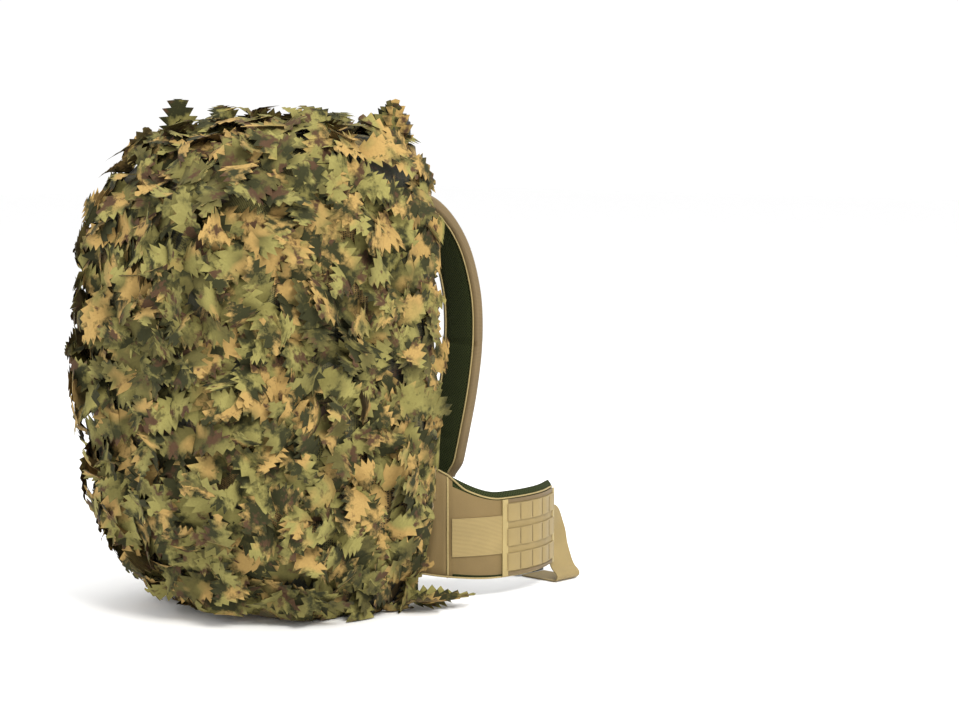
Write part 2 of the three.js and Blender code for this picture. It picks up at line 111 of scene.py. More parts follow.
class Colours(bpy.types.PropertyGroup):
    tan: colour("Pack tan", "Pack cloth", "#75613A")
    webbing: colour("Webbing", "Woven straps", "#948050")
    binding: colour("Binding", "Folded tape on the cut edges", "#6F5C3A")
    piping: colour("Piping", "Thin cord in the strap's seams", "#A5925F")
    pad_mesh: colour("Padded mesh", "Mesh that faces the wearer", "#1F2410")
    lining: colour("Lining", "Coated lining of the cover", "#4C5430")
    leaf_olive: colour("Leaf olive", "Ground colour of the printed leaves", "#524C28")
    leaf_moss: colour("Leaf moss", "Dark green blotches", "#2B2B15")
    leaf_lime: colour("Leaf lime", "Pale yellow-green blotches", "#807944")
    leaf_brown: colour("Leaf brown", "Brown blotches", "#473322")
    leaf_tan: colour("Leaf tan", "Sandy blotches", "#9B7F4A")
    black: colour("Black", "Moulded parts and cord", "#1C1D1B")


SIZE_GROUPS = {"rucksack_leaf": LeafSizes, "rucksack_cloth": ClothSizes, "rucksack_colour": Colours}


def leaf_sizes():
    return bpy.context.scene.rucksack_leaf


def cloth_sizes():
    return bpy.context.scene.rucksack_cloth


def shade(name):
    """The linear colour of one of the sRGB hex values above."""
    text = getattr(bpy.context.scene.rucksack_colour, name).lstrip("#")
    values = [int(text[i:i + 2], 16) / 255 for i in (0, 2, 4)]
    return [v / 12.92 if v <= 0.04045 else ((v + 0.055) / 1.055) ** 2.4 for v in values] + [1.0]


# ---- Materials ----
def add(tree, kind, inputs=None, **settings):
    """Adds a node. inputs maps a socket's name or number to a value, or to the socket that feeds it."""
    new = tree.nodes.new(kind)
    for key, value in settings.items():
        setattr(new, key, value)
    for key, value in (inputs or {}).items():
        if isinstance(value, bpy.types.NodeSocket):
            tree.links.new(value, new.inputs[key])
        else:
            new.inputs[key].default_value = value
    return new


def start_material(name, inputs):
    """A material with one Principled shader, and its constant sockets set."""
    material = bpy.data.materials.new(name)
    material.use_nodes = True
    tree = material.node_tree
    shader = tree.nodes["Principled BSDF"]
    for key, value in inputs.items():
        shader.inputs[key].default_value = value
    return material, tree, shader


def maths(tree, operation, a, b=0.0, c=0.0):
    return add(tree, "ShaderNodeMath", {0: a, 1: b, 2: c}, operation=operation).outputs[0]


def mixed(tree, factor, a, b, blend="MIX"):
    new = add(tree, "ShaderNodeMix", data_type="RGBA", blend_type=blend)
    for key, value in ((0, factor), (6, a), (7, b)):
        if isinstance(value, bpy.types.NodeSocket):
            tree.links.new(value, new.inputs[key])
        else:
            new.inputs[key].default_value = value
    return new.outputs[2]


def blotches(tree, place, size, threshold, softness, seed, detail=4.0, rough=0.62):
    """0 to 1: islands of about the given size, with ragged edges, for a printed camouflage."""
    shift = add(tree, "ShaderNodeVectorMath", {0: place, 1: (seed, seed * 0.7, seed * 0.3)}, operation="ADD")
    field = add(tree, "ShaderNodeTexNoise", {
        "Vector": shift.outputs[0], "Scale": 1 / size, "Detail": detail, "Roughness": rough})
    return add(tree, "ShaderNodeMapRange", {
        0: field.outputs[0], 1: threshold - softness, 2: threshold + softness}).outputs[0]


def printed(tree, place, back_reverse_and_shade=0.0):
    """The camouflage print: olive ground, then moss, lime, sand and brown blotches, each printed over."""
    lime = blotches(tree, place, 0.11, 0.48, 0.08, 3.1, 2.0)
    ground = mixed(tree, lime, shade("leaf_olive"), shade("leaf_lime"))
    sand = mixed(tree, blotches(tree, place, 0.15, 0.535, 0.03, 31.7, 3.0), ground, shade("leaf_tan"))
    moss = mixed(tree, blotches(tree, place, 0.045, 0.53, 0.045, 17.3, 6.0, 0.6), sand, shade("leaf_moss"))
    brown = mixed(tree, blotches(tree, place, 0.038, 0.595, 0.03, 47.9, 6.0, 0.62), moss, shade("leaf_brown"))
    moss = mixed(tree, blotches(tree, place, 0.024, 0.64, 0.03, 71.3, 4.0), brown, shade("leaf_olive"))
    # Leaf undersides: the print mixed towards brown, partly the print's browner reverse and partly painted shade.
    if back_reverse_and_shade:
        return mixed(tree, back_reverse_and_shade, moss, shade("leaf_brown"))
    return moss


def own_map(tree):
    """The piece's own UV map, in metres along and across the cloth."""
    return add(tree, "ShaderNodeUVMap", uv_map="cloth").outputs[0]


def weave_height(tree, place, pitch, across=None):
    """A plain weave: two crossed rows of threads, `pitch` apart, drawn coarser than life so that they show."""
    split = add(tree, "ShaderNodeSeparateXYZ", {0: place})
    warp = maths(tree, "SINE", maths(tree, "MULTIPLY", split.outputs[0], 2 * math.pi / pitch))
    weft = maths(tree, "SINE", maths(tree, "MULTIPLY", split.outputs[1], 2 * math.pi / (across or pitch)))
    return maths(tree, "MULTIPLY", warp, weft)


def bumped(tree, shader, height, strength, distance):
    bump = add(tree, "ShaderNodeBump", {"Height": height, "Strength": strength, "Distance": distance})
    tree.links.new(bump.outputs[0], shader.inputs["Normal"])


def leaf_cloth(name, back_reverse_and_shade):
    """Printed polyester leaf cloth, cut with a hot knife: matt, faintly fuzzy, blotches cut through at random."""
    material, tree, shader = start_material(name, {
        "Roughness": 0.9, "IOR": 1.48, "Specular IOR Level": 0.22})
    place = own_map(tree)
    print_colour = printed(tree, place, back_reverse_and_shade)
    worn = add(tree, "ShaderNodeTexNoise", {"Vector": place, "Scale": 260.0, "Detail": 3.0})
    toned = mixed(tree, 0.22, print_colour, worn.outputs[0], "OVERLAY")
    tree.links.new(toned, shader.inputs["Base Color"])
    bumped(tree, shader, weave_height(tree, place, 1.1 * MM), 0.25, 0.15 * MM)
    return material


def net_cloth(name):
    """Knitted polyester net with the same print. The holes show as near-black dots: the dark lining behind them,
    with painted shade in the gap between net and lining.
    """
    material, tree, shader = start_material(name, {"Roughness": 0.9, "IOR": 1.48, "Sheen Weight": 0.1})
    place = own_map(tree)
    pitch = cloth_sizes().mesh_pitch
    split = add(tree, "ShaderNodeSeparateXYZ", {0: place})
    across = maths(tree, "COSINE", maths(tree, "MULTIPLY", split.outputs[0], 2 * math.pi / pitch))
    along = maths(tree, "COSINE", maths(tree, "MULTIPLY", split.outputs[1], 2 * math.pi / pitch))
    hole = add(tree, "ShaderNodeMapRange", {0: maths(tree, "ADD", across, along), 1: 0.55, 2: 1.1}).outputs[0]
    print_colour = printed(tree, place)
    # Painted shade: the holes are near black, darker than the lining that lies behind them.
    dark = mixed(tree, hole, print_colour, (0.012, 0.013, 0.007, 1.0))
    tree.links.new(dark, shader.inputs["Base Color"])
    bumped(tree, shader, maths(tree, "SUBTRACT", 1.0, hole), 0.6, 0.5 * MM)
    return material


def coated_cloth(name):
    """Nylon with a polyurethane coat: a wet-looking sheen that breaks up over fine creases, with painted light on
    their ridges and painted shade in their hollows.
    """
    material, tree, shader = start_material(name, {
        "Roughness": 0.34, "IOR": 1.5, "Coat Weight": 0.25, "Coat Roughness": 0.22})
    place = add(tree, "ShaderNodeTexCoord").outputs["Object"]
    creases = add(tree, "ShaderNodeTexNoise", {"Vector": place, "Scale": 22.0, "Detail": 6.0, "Roughness": 0.55})
    # Painted light and shade: the colour follows the crease noise that also makes the bump.
    crease_light_and_shade = mixed(tree, 0.3, shade("lining"), creases.outputs[0], "OVERLAY")
    tree.links.new(crease_light_and_shade, shader.inputs["Base Color"])
    bumped(tree, shader, creases.outputs[0], 0.5, 4 * MM)
    return material


def pack_cloth(name, base, uneven=0.25, pattern=None):
    """Textured nylon: an open basket weave with a slight yarn slub and a broad uneven tone."""
    material, tree, shader = start_material(name, {
        "Roughness": 0.84, "IOR": 1.5, "Sheen Weight": 0.08, "Sheen Roughness": 0.4})
    place = pattern(tree) if pattern else add(tree, "ShaderNodeTexCoord").outputs["Object"]
    slub = add(tree, "ShaderNodeTexNoise", {"Vector": place, "Scale": 900.0, "Detail": 2.0})
    cloud = add(tree, "ShaderNodeTexNoise", {"Vector": place, "Scale": 14.0, "Detail": 5.0})
    dark = [v * 0.62 for v in shade(base)[:3]] + [1.0]
    light = [min(1.0, v * 1.18) for v in shade(base)[:3]] + [1.0]
    yarn = mixed(tree, slub.outputs[0], dark, light)
    toned = mixed(tree, uneven, yarn, cloud.outputs[0], "OVERLAY")
    tree.links.new(toned, shader.inputs["Base Color"])
    thread = cloth_sizes().thread
    fine = add(tree, "ShaderNodeTexVoronoi", {"Vector": place, "Scale": 0.6 / thread}, distance="CHEBYCHEV")
    bumped(tree, shader, fine.outputs["Distance"], 0.35, 0.25 * MM)
    return material


def by_place(tree):
    """Object coordinates turned into a flat map: round the piece, and up."""
    place = add(tree, "ShaderNodeTexCoord").outputs["Object"]
    split = add(tree, "ShaderNodeSeparateXYZ", {0: place})
    around = maths(tree, "ADD", split.outputs[0], split.outputs[1])
    return add(tree, "ShaderNodeCombineXYZ", {0: around, 1: split.outputs[2]}).outputs[0]


def webbing_cloth(name, base, rib_along=False, pattern=own_map):
    """Woven nylon webbing: tight ribs and a satin lie of the yarn."""
    material, tree, shader = start_material(name, {
        "Roughness": 0.72, "IOR": 1.5, "Sheen Weight": 0.1, "Sheen Roughness": 0.35})
    place = pattern(tree)
    rib = cloth_sizes().rib
    split = add(tree, "ShaderNodeSeparateXYZ", {0: place})
    main, other = (1, 0) if rib_along else (0, 1)
    ribs = maths(tree, "SINE", maths(tree, "MULTIPLY", split.outputs[main], 2 * math.pi / rib))
    yarns = maths(tree, "SINE", maths(tree, "MULTIPLY", split.outputs[other], 2 * math.pi / (rib * 0.7)))
    height = maths(tree, "MULTIPLY_ADD", yarns, 0.35, ribs)
    # Painted shade: the valleys between the ribs are darkened to 0.6 of the webbing's colour.
    painted_valley_shade = add(tree, "ShaderNodeMapRange", {0: height, 1: -1.3, 2: 0.4}).outputs[0]
    dark = [v * 0.6 for v in shade(base)[:3]] + [1.0]
    toned = mixed(tree, painted_valley_shade, dark, shade(base))
    cloud = add(tree, "ShaderNodeTexNoise", {"Vector": place, "Scale": 25.0, "Detail": 4.0})
    tree.links.new(mixed(tree, 0.18, toned, cloud.outputs[0], "OVERLAY"), shader.inputs["Base Color"])
    bumped(tree, shader, height, 0.5, 0.3 * MM)
    return material


def spacer_mesh(name, base, pattern=own_map):
    """Knitted spacer mesh: rows of small round holes on the diagonal, soft and dull, with painted shade in the
    holes.
    """
    material, tree, shader = start_material(name, {
        "Roughness": 0.92, "IOR": 1.48, "Specular IOR Level": 0.15})
    place = pattern(tree)
    pitch = cloth_sizes().spacer_pitch
    split = add(tree, "ShaderNodeSeparateXYZ", {0: place})
    rising = maths(tree, "ADD", split.outputs[0], split.outputs[1])
    falling = maths(tree, "SUBTRACT", split.outputs[0], split.outputs[1])
    one = maths(tree, "COSINE", maths(tree, "MULTIPLY", rising, 2 * math.pi / pitch))
    two = maths(tree, "COSINE", maths(tree, "MULTIPLY", falling, 2 * math.pi / pitch))
    hole = add(tree, "ShaderNodeMapRange", {0: maths(tree, "ADD", one, two), 1: 0.1, 2: 1.3}).outputs[0]
    # Painted shade: the holes at a quarter of the mesh colour; the yarn between them is drawn at twice it.
    dark = [v * 0.25 for v in shade(base)[:3]] + [1.0]
    light = [min(1.0, v * 2.0) for v in shade(base)[:3]] + [1.0]
    tree.links.new(mixed(tree, hole, light, dark), shader.inputs["Base Color"])
    bumped(tree, shader, maths(tree, "SUBTRACT", 1.0, hole), 0.8, 0.8 * MM)
    return material


def moulded_plastic(name):
    """Injection-moulded acetal: near black, a fine spark-eroded grain, a dull highlight on the edges."""
    material, tree, shader = start_material(name, {"IOR": 1.48})
    place = add(tree, "ShaderNodeTexCoord").outputs["Object"]
    grain = add(tree, "ShaderNodeTexNoise", {"Vector": place, "Scale": 1400.0, "Detail": 2.0})
    worn = add(tree, "ShaderNodeTexNoise", {"Vector": place, "Scale": 60.0, "Detail": 4.0})
    lighter = [v * 2.2 for v in shade("black")[:3]] + [1.0]
    tree.links.new(mixed(tree, worn.outputs[0], shade("black"), lighter), shader.inputs["Base Color"])
    rough = add(tree, "ShaderNodeMapRange", {0: worn.outputs[0], 3: 0.38, 4: 0.58}).outputs[0]
    tree.links.new(rough, shader.inputs["Roughness"])
    bumped(tree, shader, grain.outputs[0], 0.25, 0.12 * MM)
    return material


def braided_cord(name):
    """Braided elastic cord: crossing strands, dull black, with painted light on the raised strands and painted
    shade between them.
    """
    material, tree, shader = start_material(name, {"Roughness": 0.8, "IOR": 1.5, "Sheen Weight": 0.15})
    height = weave_height(tree, own_map(tree), 1.6 * MM, 1.3 * MM)
    # Painted light and shade: the colour follows the braid's height, lighter on the raised strands.
    lighter = [v * 2.6 for v in shade("black")[:3]] + [1.0]
    spread = add(tree, "ShaderNodeMapRange", {0: height, 1: -1.0, 2: 1.0}).outputs[0]
    tree.links.new(mixed(tree, spread, shade("black"), lighter), shader.inputs["Base Color"])
    bumped(tree, shader, height, 0.6, 0.3 * MM)
    return material


def drawn_metal(name, tint, rough):
    """Extruded or drawn bar: fine lines along its length in a bright metal."""
    material, tree, shader = start_material(name, {"Metallic": 1.0})
    place = add(tree, "ShaderNodeTexCoord").outputs["Object"]
    stretched = add(tree, "ShaderNodeMapping", {"Vector": place, "Scale": (900.0, 900.0, 12.0)}).outputs[0]
    lines = add(tree, "ShaderNodeTexNoise", {"Vector": stretched, "Scale": 1.0, "Detail": 3.0})
    dark = [v * 0.8 for v in tint] + [1.0]
    tree.links.new(mixed(tree, lines.outputs[0], dark, [*tint, 1.0]), shader.inputs["Base Color"])
    spread = add(tree, "ShaderNodeMapRange", {0: lines.outputs[0], 3: rough - 0.08, 4: rough + 0.1}).outputs[0]
    tree.links.new(spread, shader.inputs["Roughness"])
    bumped(tree, shader, lines.outputs[0], 0.15, 0.05 * MM)
    return material


FINISHES = {
    "printed leaf cloth": lambda name: leaf_cloth(name, 0.0),
    # Leaf undersides: browner for the print's reverse, and darker as painted shade.
    "printed leaf cloth back": lambda name: leaf_cloth(name, 0.4),
    "knitted net": net_cloth,
    "coated nylon": coated_cloth,
    "textured nylon": lambda name: pack_cloth(name, "tan"),
    "textured nylon by map": lambda name: pack_cloth(name, "tan", 0.25, own_map),
    "binding tape": lambda name: webbing_cloth(name, "binding"),
    "nylon webbing": lambda name: webbing_cloth(name, "webbing"),
    "wide ribbed webbing": lambda name: webbing_cloth(name, "webbing", True),
    "webbing by place": lambda name: webbing_cloth(name, "webbing", False, by_place),
    "piping": lambda name: webbing_cloth(name, "piping"),
    "spacer mesh": lambda name: spacer_mesh(name, "pad_mesh"),
    "spacer mesh by place": lambda name: spacer_mesh(name, "pad_mesh", by_place),
    "moulded acetal": moulded_plastic,
    "braided elastic": braided_cord,
    "drawn aluminium": lambda name: drawn_metal(name, (0.72, 0.73, 0.75), 0.36),
    "spring steel": lambda name: drawn_metal(name, (0.6, 0.6, 0.62), 0.3),
}


def finish_named(name):
    """The material of that name, made the first time it is asked for."""
    return bpy.data.materials.get(name) or FINISHES[name](name)


def dress(node, finish):
    """Gives a carried-over CAD node its material."""
    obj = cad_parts[node]
    obj.data.materials.clear()
    obj.data.materials.append(finish_named(finish))


# ---- Making meshes ----
def mesh_piece(name, points, faces, finishes, body, nodes=(), face_finish=None, uvs=None, sharp=None):
    """A piece from its points and faces, standing for the CAD nodes named and riding on a body."""
    mesh = bpy.data.meshes.new(name)
    mesh.from_pydata([tuple(p) for p in points], [], faces)
    for finish in finishes:
        mesh.materials.append(finish_named(finish))
    if face_finish:
        mesh.polygons.foreach_set("material_index", face_finish)
    if uvs:
        layer = mesh.uv_layers.new(name="cloth")
        spots = [uvs[loop.vertex_index] for loop in mesh.loops]
        layer.data.foreach_set("uv", [v for spot in spots for v in spot])
    mesh.polygons.foreach_set("use_smooth", [True] * len(mesh.polygons))
    mesh.update()
    obj = bpy.data.objects.new(name, mesh)
    bpy.context.scene.collection.objects.link(obj)
    if sharp is not None:
        pick_only(obj)
        bpy.ops.object.shade_smooth_by_angle(angle=math.radians(sharp))
    settle(obj, body, nodes)
    return obj


def pick_only(obj):
    bpy.ops.object.select_all(action="DESELECT")
    obj.select_set(True)
    bpy.context.view_layer.objects.active = obj


def settle(obj, body, nodes=()):
    """The piece rides on its body, or is baked in place when given a tuple, and hides the CAD nodes that it
    stands for.
    """
    if isinstance(body, tuple):
        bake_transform(obj)
    else:
        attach(obj, body)
    if nodes:
        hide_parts(*nodes)


def ease(t):
    t = min(1.0, max(0.0, t))
    return t * t * (3 - 2 * t)


def curve_through(points, count):
    """`count` points evenly spaced along a smooth curve through the given ones."""
    given = [Vector(p) for p in points]
    knots = [2 * given[0] - given[1], *given, 2 * given[-1] - given[-2]]
    line = []
    for p0, p1, p2, p3 in zip(knots, knots[1:], knots[2:], knots[3:]):
        a = 0.0
        b = a + (p1 - p0).length ** 0.5
        c = b + (p2 - p1).length ** 0.5
        d = c + (p3 - p2).length ** 0.5
        for step in range(24):
            t = b + (c - b) * step / 24
            q1 = p0.lerp(p1, (t - a) / (b - a))
            q2 = p1.lerp(p2, (t - b) / (c - b))
            q3 = p2.lerp(p3, (t - c) / (d - c))
            r1 = q1.lerp(q2, (t - a) / (c - a))
            r2 = q2.lerp(q3, (t - b) / (d - b))
            line.append(r1.lerp(r2, (t - b) / (c - b)))
    line.append(given[-1])
    return evenly(line, count)


def evenly(line, count):
    reach = [0.0]
    for p, q in zip(line, line[1:]):
        reach.append(reach[-1] + (q - p).length)
    spots = []
    at = 0
    for i in range(count):
        want = reach[-1] * i / (count - 1)
        while at < len(line) - 2 and reach[at + 1] < want:
            at += 1
        span = reach[at + 1] - reach[at]
        spots.append(line[at].lerp(line[at + 1], (want - reach[at]) / span if span else 0.0))
    return spots


def line_length(line):
    return sum((q - p).length for p, q in zip(line, line[1:]))


def frames_along(line, across):
    """For each point of a line: its width direction and its face direction."""
    pairs = []
    last = len(line) - 1
    for i in range(len(line)):
        along = (line[min(last, i + 1)] - line[max(0, i - 1)]).normalized()
        side = Vector(across(i / last))
        side = (side - along * side.dot(along)).normalized()
        pairs.append((side, along.cross(side)))
    return pairs


def sweep(line, pairs, section_at):
    """Sweeps a closed section along a line. section_at(i) lists (across, out) pairs, the same number
    at each i. Gives points, faces and cloth coordinates (metres along, metres round)."""
    points, faces, uvs = [], [], []
    travelled = 0.0
    sides = len(section_at(0))
    for i, (spot, (side, face)) in enumerate(zip(line, pairs)):
        if i:
            travelled += (line[i] - line[i - 1]).length
        around = 0.0
        section = section_at(i)
        for k, (a, f) in enumerate(section):
            if k:
                around += math.hypot(a - section[k - 1][0], f - section[k - 1][1])
            points.append(spot + side * a + face * f)
            uvs.append((travelled, around))
    for i in range(len(line) - 1):
        for k in range(sides):
            a = i * sides + k
            b = i * sides + (k + 1) % sides
            faces.append((a, a + sides, b + sides, b))
    faces.append(tuple(range(sides)))
    faces.append(tuple(reversed(range((len(line) - 1) * sides, len(line) * sides))))
    return points, faces, uvs


def flat_section(width, thick, columns=4, lift=0.0):
    """A strap's section: flat on both faces with thin round edges."""
    half, depth = width / 2, thick / 2
    top = [(-half + width * k / columns, depth) for k in range(columns + 1)]
    low = [(half - width * k / columns, -depth) for k in range(columns + 1)]
    edge = depth * 0.8
    ring = [*top, (half + edge * 0.3, 0.0), *low, (-half - edge * 0.3, 0.0)]
    return [(a, f + lift) for a, f in ring]


def strap_uvs(section, uvs):
    """Both faces of a strap read the weave straight across, not round the edge."""
    sides = len(section)
    return [(u, section[i % sides][0]) for i, (u, _v) in enumerate(uvs)]


def flat_strap(name, line, pairs, section, body, nodes, finish="nylon webbing"):
    """Webbing or tape swept along a line."""
    made, faces, uvs = sweep(line, pairs, lambda i: section)
    return mesh_piece(name, made, faces, [finish], body, nodes, uvs=strap_uvs(section, uvs), sharp=40)


def round_tube(name, line, radius, body, finish, nodes=(), sides=8):
    """A cord or piping along a line, with its own map for the braid."""
    start = Vector((0, 0, 1)) if abs((line[1] - line[0]).normalized().z) < 0.8 else Vector((0, 1, 0))
    pairs = []
    side = start
    for i in range(len(line)):
        along = (line[min(len(line) - 1, i + 1)] - line[max(0, i - 1)]).normalized()
        side = (side - along * side.dot(along)).normalized()
        pairs.append((side, along.cross(side)))
    ring = [(radius * math.cos(2 * math.pi * k / sides), -radius * math.sin(2 * math.pi * k / sides))
            for k in range(sides)]
    made, faces, uvs = sweep(line, pairs, lambda i: ring)
    return mesh_piece(name, made, faces, [finish], body, nodes, uvs=uvs)


SIDES = (("right", 1), ("left", -1))


# ---- The cover's outline, the same dome as the CAD model's ----
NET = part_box("cover_mesh")
HALF_WIDTH = NET[1][0]
FRONT = -NET[0][1]
COVER_BACK = NET[1][1]
BAG_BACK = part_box("main_bag")[1][1]
BASE_SAG = 34 * MM + (FRONT - 208 * MM)
CENTRE_Z = (NET[1][2] - BASE_SAG) / 2
HALF_HEIGHT = (NET[1][2] + BASE_SAG) / 2
FRONT_POWER = 3.4
SQUARE_TOP = (3.6, 5.0)
SQUARE_LOW = (1.9, 3.4)
FRONT_TUCK = 0.28
HEM_TUCK = 13 * MM      # how far the elastic pulls the opening inwards


def power_of(value, power):
    return math.copysign(abs(value) ** (2 / power), value)


def outline(reach, angle, grow=0.0):
    """A point of the cover's outline. reach runs from 0 at the foremost point to 1 at the bag's flat
    back, and on to 2 at the hem. angle goes round it, from the wearer's right over the top."""
    turn = min(1.0, reach) * math.pi / 2
    radius = math.sin(turn) ** (2 / FRONT_POWER) if turn > 0 else 0.0
    y = BAG_BACK - (FRONT + grow + BAG_BACK) * max(0.0, math.cos(turn)) ** (2 / FRONT_POWER)
    if reach > 1:
        y = BAG_BACK + (COVER_BACK - BAG_BACK) * (reach - 1)
    grow -= HEM_TUCK * ease((y - 0.1) / (COVER_BACK - 0.1)) * (1 - 0.5 * ease(math.sin(angle) * 4 - 2.6))
    low, high = SQUARE_TOP if math.sin(angle) > 0 else SQUARE_LOW
    power = low + (high - low) * radius ** 4
    x = (HALF_WIDTH + grow) * radius * power_of(math.cos(angle), power)
    z = CENTRE_Z + (HALF_HEIGHT + grow) * radius * power_of(math.sin(angle), power)
    lowness = max(0.0, (CENTRE_Z - z) / HALF_HEIGHT)
    y += max(0.0, BAG_BACK - y) * FRONT_TUCK * lowness ** 2.5
    return Vector((x, y, z))


def ring_angle(share):
    """An angle for a share of the way round, closer together where the outline's sides run straight."""
    quarter, part = divmod((share % 1.0) * 4, 1.0)
    near, far = part ** 2.2, (1 - part) ** 2.2
    return (quarter + near / (near + far)) * math.pi / 2


def outline_normal(reach, angle):
    step = 0.004
    here = outline(reach, angle)
    ahead = outline(reach + step, angle) - here
    round_ = outline(reach, angle + step) - here
    normal = round_.cross(ahead)
    if normal.length < 1e-12:
        return Vector((0, -1, 0))
    normal.normalize()
    if normal.dot(here - Vector((0, BAG_BACK, CENTRE_Z))) < 0:
        normal.negate()
    return normal


def ripple(point, size, depth, seed):
    """Soft creases: a smooth random height at a point."""
    return depth * noise.fractal(Vector(point) / size + Vector((seed, 0, 0)), 0.9, 2.1, 3)


def cover_sheet(name, grow, depth, size, finish, nodes, seed, around=120, along=46):
    """One cloth layer of the cover, open at the back and at the floor, lightly creased."""
    points, uvs, faces = [], [], []
    for i in range(along + 1):
        reach = 2.0 * i / along
        for k in range(around):
            angle = ring_angle(k / around)
            point = outline(max(0.02, reach), angle, grow)
            normal = outline_normal(max(0.02, reach), angle)
            fade = min(1.0, (2.0 - reach) * 5)
            point = point + normal * ripple(point, size, depth, seed) * fade
            point.z = max(point.z, 1 * MM)
            points.append(point)
            uvs.append((k / around * 2.3, reach * 0.36))
    centre = len(points)
    points.append(outline(0.0, 0.0, grow))
    uvs.append((0.0, 0.0))
    for k in range(around):
        faces.append((centre, k, (k + 1) % around))
    for i in range(along):
        for k in range(around):
            a = i * around + k
            b = i * around + (k + 1) % around
            if all(points[v].z <= 1.001 * MM for v in (a, b, a + around, b + around)):
                continue
            faces.append((a, a + around, b + around, b))
    return mesh_piece(name, points, faces, [finish], "cover", nodes, uvs=uvs)


# ---- Leaves ----
# Half of a double leaf, as shares of its length and half width: the rib's stations, then the hollow
# at each station and the tooth that stands before it.
RIB = (0.0, 0.16, 0.34, 0.52, 0.70, 0.86, 1.0)
HOLLOW = (0.40, 0.56, 0.62, 0.53, 0.36, 0.16, 0.0)
TOOTH_AT = (0.14, 0.33, 0.515, 0.69, 0.85, 0.955)
TOOTH = (0.74, 1.0, 0.98, 0.80, 0.56, 0.27)


def half_leaf(rng, middle, along, out, sizes, cloth_at, heavy):
    """One half of a double leaf. It rises from its stitched middle, curls, twists and droops.
    Returns its points, faces, cloth coordinates and which faces are its underside."""
    long_ = sizes.half_length * rng.uniform(0.82, 1.1)
    wide = sizes.half_width * rng.uniform(0.85, 1.1)
    rise = math.radians(rng.triangular(2, 84, 30)) * min(1.0, heavy * 2)
    curl = math.radians(rng.uniform(-105, 30)) * heavy
    twist = math.radians(rng.uniform(-55, 55))
    cup = rng.uniform(-0.7, 0.8)
    across0 = along.cross(out).normalized()
    place = Vector(middle)
    last = 0.0
    points, uvs = [], []
    spots = {}
    for share in sorted([*RIB, *TOOTH_AT]):
        angle = rise + curl * share
        heading = along * math.cos(angle) + out * math.sin(angle)
        place = place + heading * (share - last) * long_
        last = share
        turn = twist * share
        up = out * math.cos(angle) - along * math.sin(angle)
        side = across0 * math.cos(turn) + up * math.sin(turn)
        face = up * math.cos(turn) - across0 * math.sin(turn)
        spots[share] = (place.copy(), side, face)

    def put(share, width):
        spot, side, face = spots[share]
        lift = cup * width * width * wide * 0.5
        points.append(spot + side * width * wide + face * lift)
        uvs.append((cloth_at[0] + share * long_, cloth_at[1] + width * wide))
        return len(points) - 1

    ribs = [put(s, 0.0) for s in RIB]
    backs = []
    for index in ribs[:-1]:
        share = RIB[index]
        points.append(points[index] - spots[share][2] * 0.5 * MM)
        uvs.append(uvs[index])
        backs.append(len(points) - 1)
    backs.append(ribs[-1])
    faces, under = [], []
    for sign in (1, -1):
        hollows = [put(s, sign * w) for s, w in zip(RIB[:-1], HOLLOW)] + [ribs[-1]]
        teeth = [put(s, sign * w) for s, w in zip(TOOTH_AT, TOOTH)]
        for k in range(len(RIB) - 1):
            for spine, back in ((ribs, False), (backs, True)):
                panels = [(spine[k], teeth[k], hollows[k]), (spine[k], spine[k + 1], teeth[k])]
                if k < len(RIB) - 2:
                    panels.append((spine[k + 1], hollows[k + 1], teeth[k]))
                if (sign == 1) != back:
                    panels = [tuple(reversed(panel)) for panel in panels]
                faces += panels
                under += [back] * len(panels)
    return points, faces, uvs, under


SITE_TRIES = 60000      # enough that no room is left for another leaf


def leaf_sites(rng, sizes):
    """Where the double leaves are stitched: spread over the cover, never closer than the spacing."""
    sites = []
    cells = {}
    cell = sizes.spacing
    for _try in range(SITE_TRIES):
        reach = 2.0 * rng.random() ** 0.8
        angle = ring_angle(rng.random())
        point = outline(reach, angle)
        if point.z < (9 + 16 * ease(-point.y / 0.12)) * MM:
            continue
        bare = point.z > 0.60 and point.y > 0.02 and point.x > 0.11
        near = cell * (1.35 if bare else 1.0)
        key = tuple(int(v // cell) for v in point)
        around = [cells.get((key[0] + i, key[1] + j, key[2] + k), ()) for i in (-1, 0, 1)
                  for j in (-1, 0, 1) for k in (-1, 0, 1)]
        if any((point - other).length < near for group in around for other in group):
            continue
        cells.setdefault(key, []).append(point)
        sites.append((point, outline_normal(reach, angle)))
    return sites


def zone_of(point):
    if point.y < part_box("leaves_front")[1][1]:
        return "leaves_front"
    if point.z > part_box("leaves_right")[1][2]:
        return "leaves_top"
    return "leaves_right" if point.x > 0 else "leaves_left"


# Leaves that stand up from the top or lie on the floor: place, heading, facing and zone.
LONE_LEAVES = (
    ((-0.100, -0.05, 0.655), (-0.05, 0.0, 1.0), (0.7, -0.7, 0.1), "leaves_top"),
    ((0.142, 0.138, 0.636), (-0.15, 0.1, 1.0), (0.7, -0.7, 0.1), "leaves_top"),
    ((0.122, 0.132, 0.640), (0.1, 0.1, 1.0), (0.6, -0.8, 0.1), "leaves_top"),
    ((0.104, 0.140, 0.650), (0.5, 0.1, 0.8), (0.6, -0.8, 0.1), "leaves_top"),
    ((0.186, 0.140, 0.010), (0.62, 0.78, -0.05), (0.1, -0.3, 1.0), "leaves_right"),
    ((0.176, 0.128, 0.012), (0.30, 0.95, -0.05), (0.2, -0.3, 1.0), "leaves_right"),
    ((0.188, 0.110, 0.014), (0.90, 0.40, -0.1), (0.1, -0.3, 1.0), "leaves_right"),
)

# How much a lone leaf bends, and the bounds that it is held within.
LONE_BEND = 0.12
LONE_SIDE = 0.242
LONE_FLOOR = 1.2 * MM
LONE_TOP = 0.713


def add_leaf(zone, made, faces, uvs, under):
    offset = len(zone[0])
    zone[0].extend(made)
    zone[1].extend([tuple(v + offset for v in face) for face in faces])
    zone[2].extend(uvs)
    zone[3].extend([1 if back else 0 for back in under])


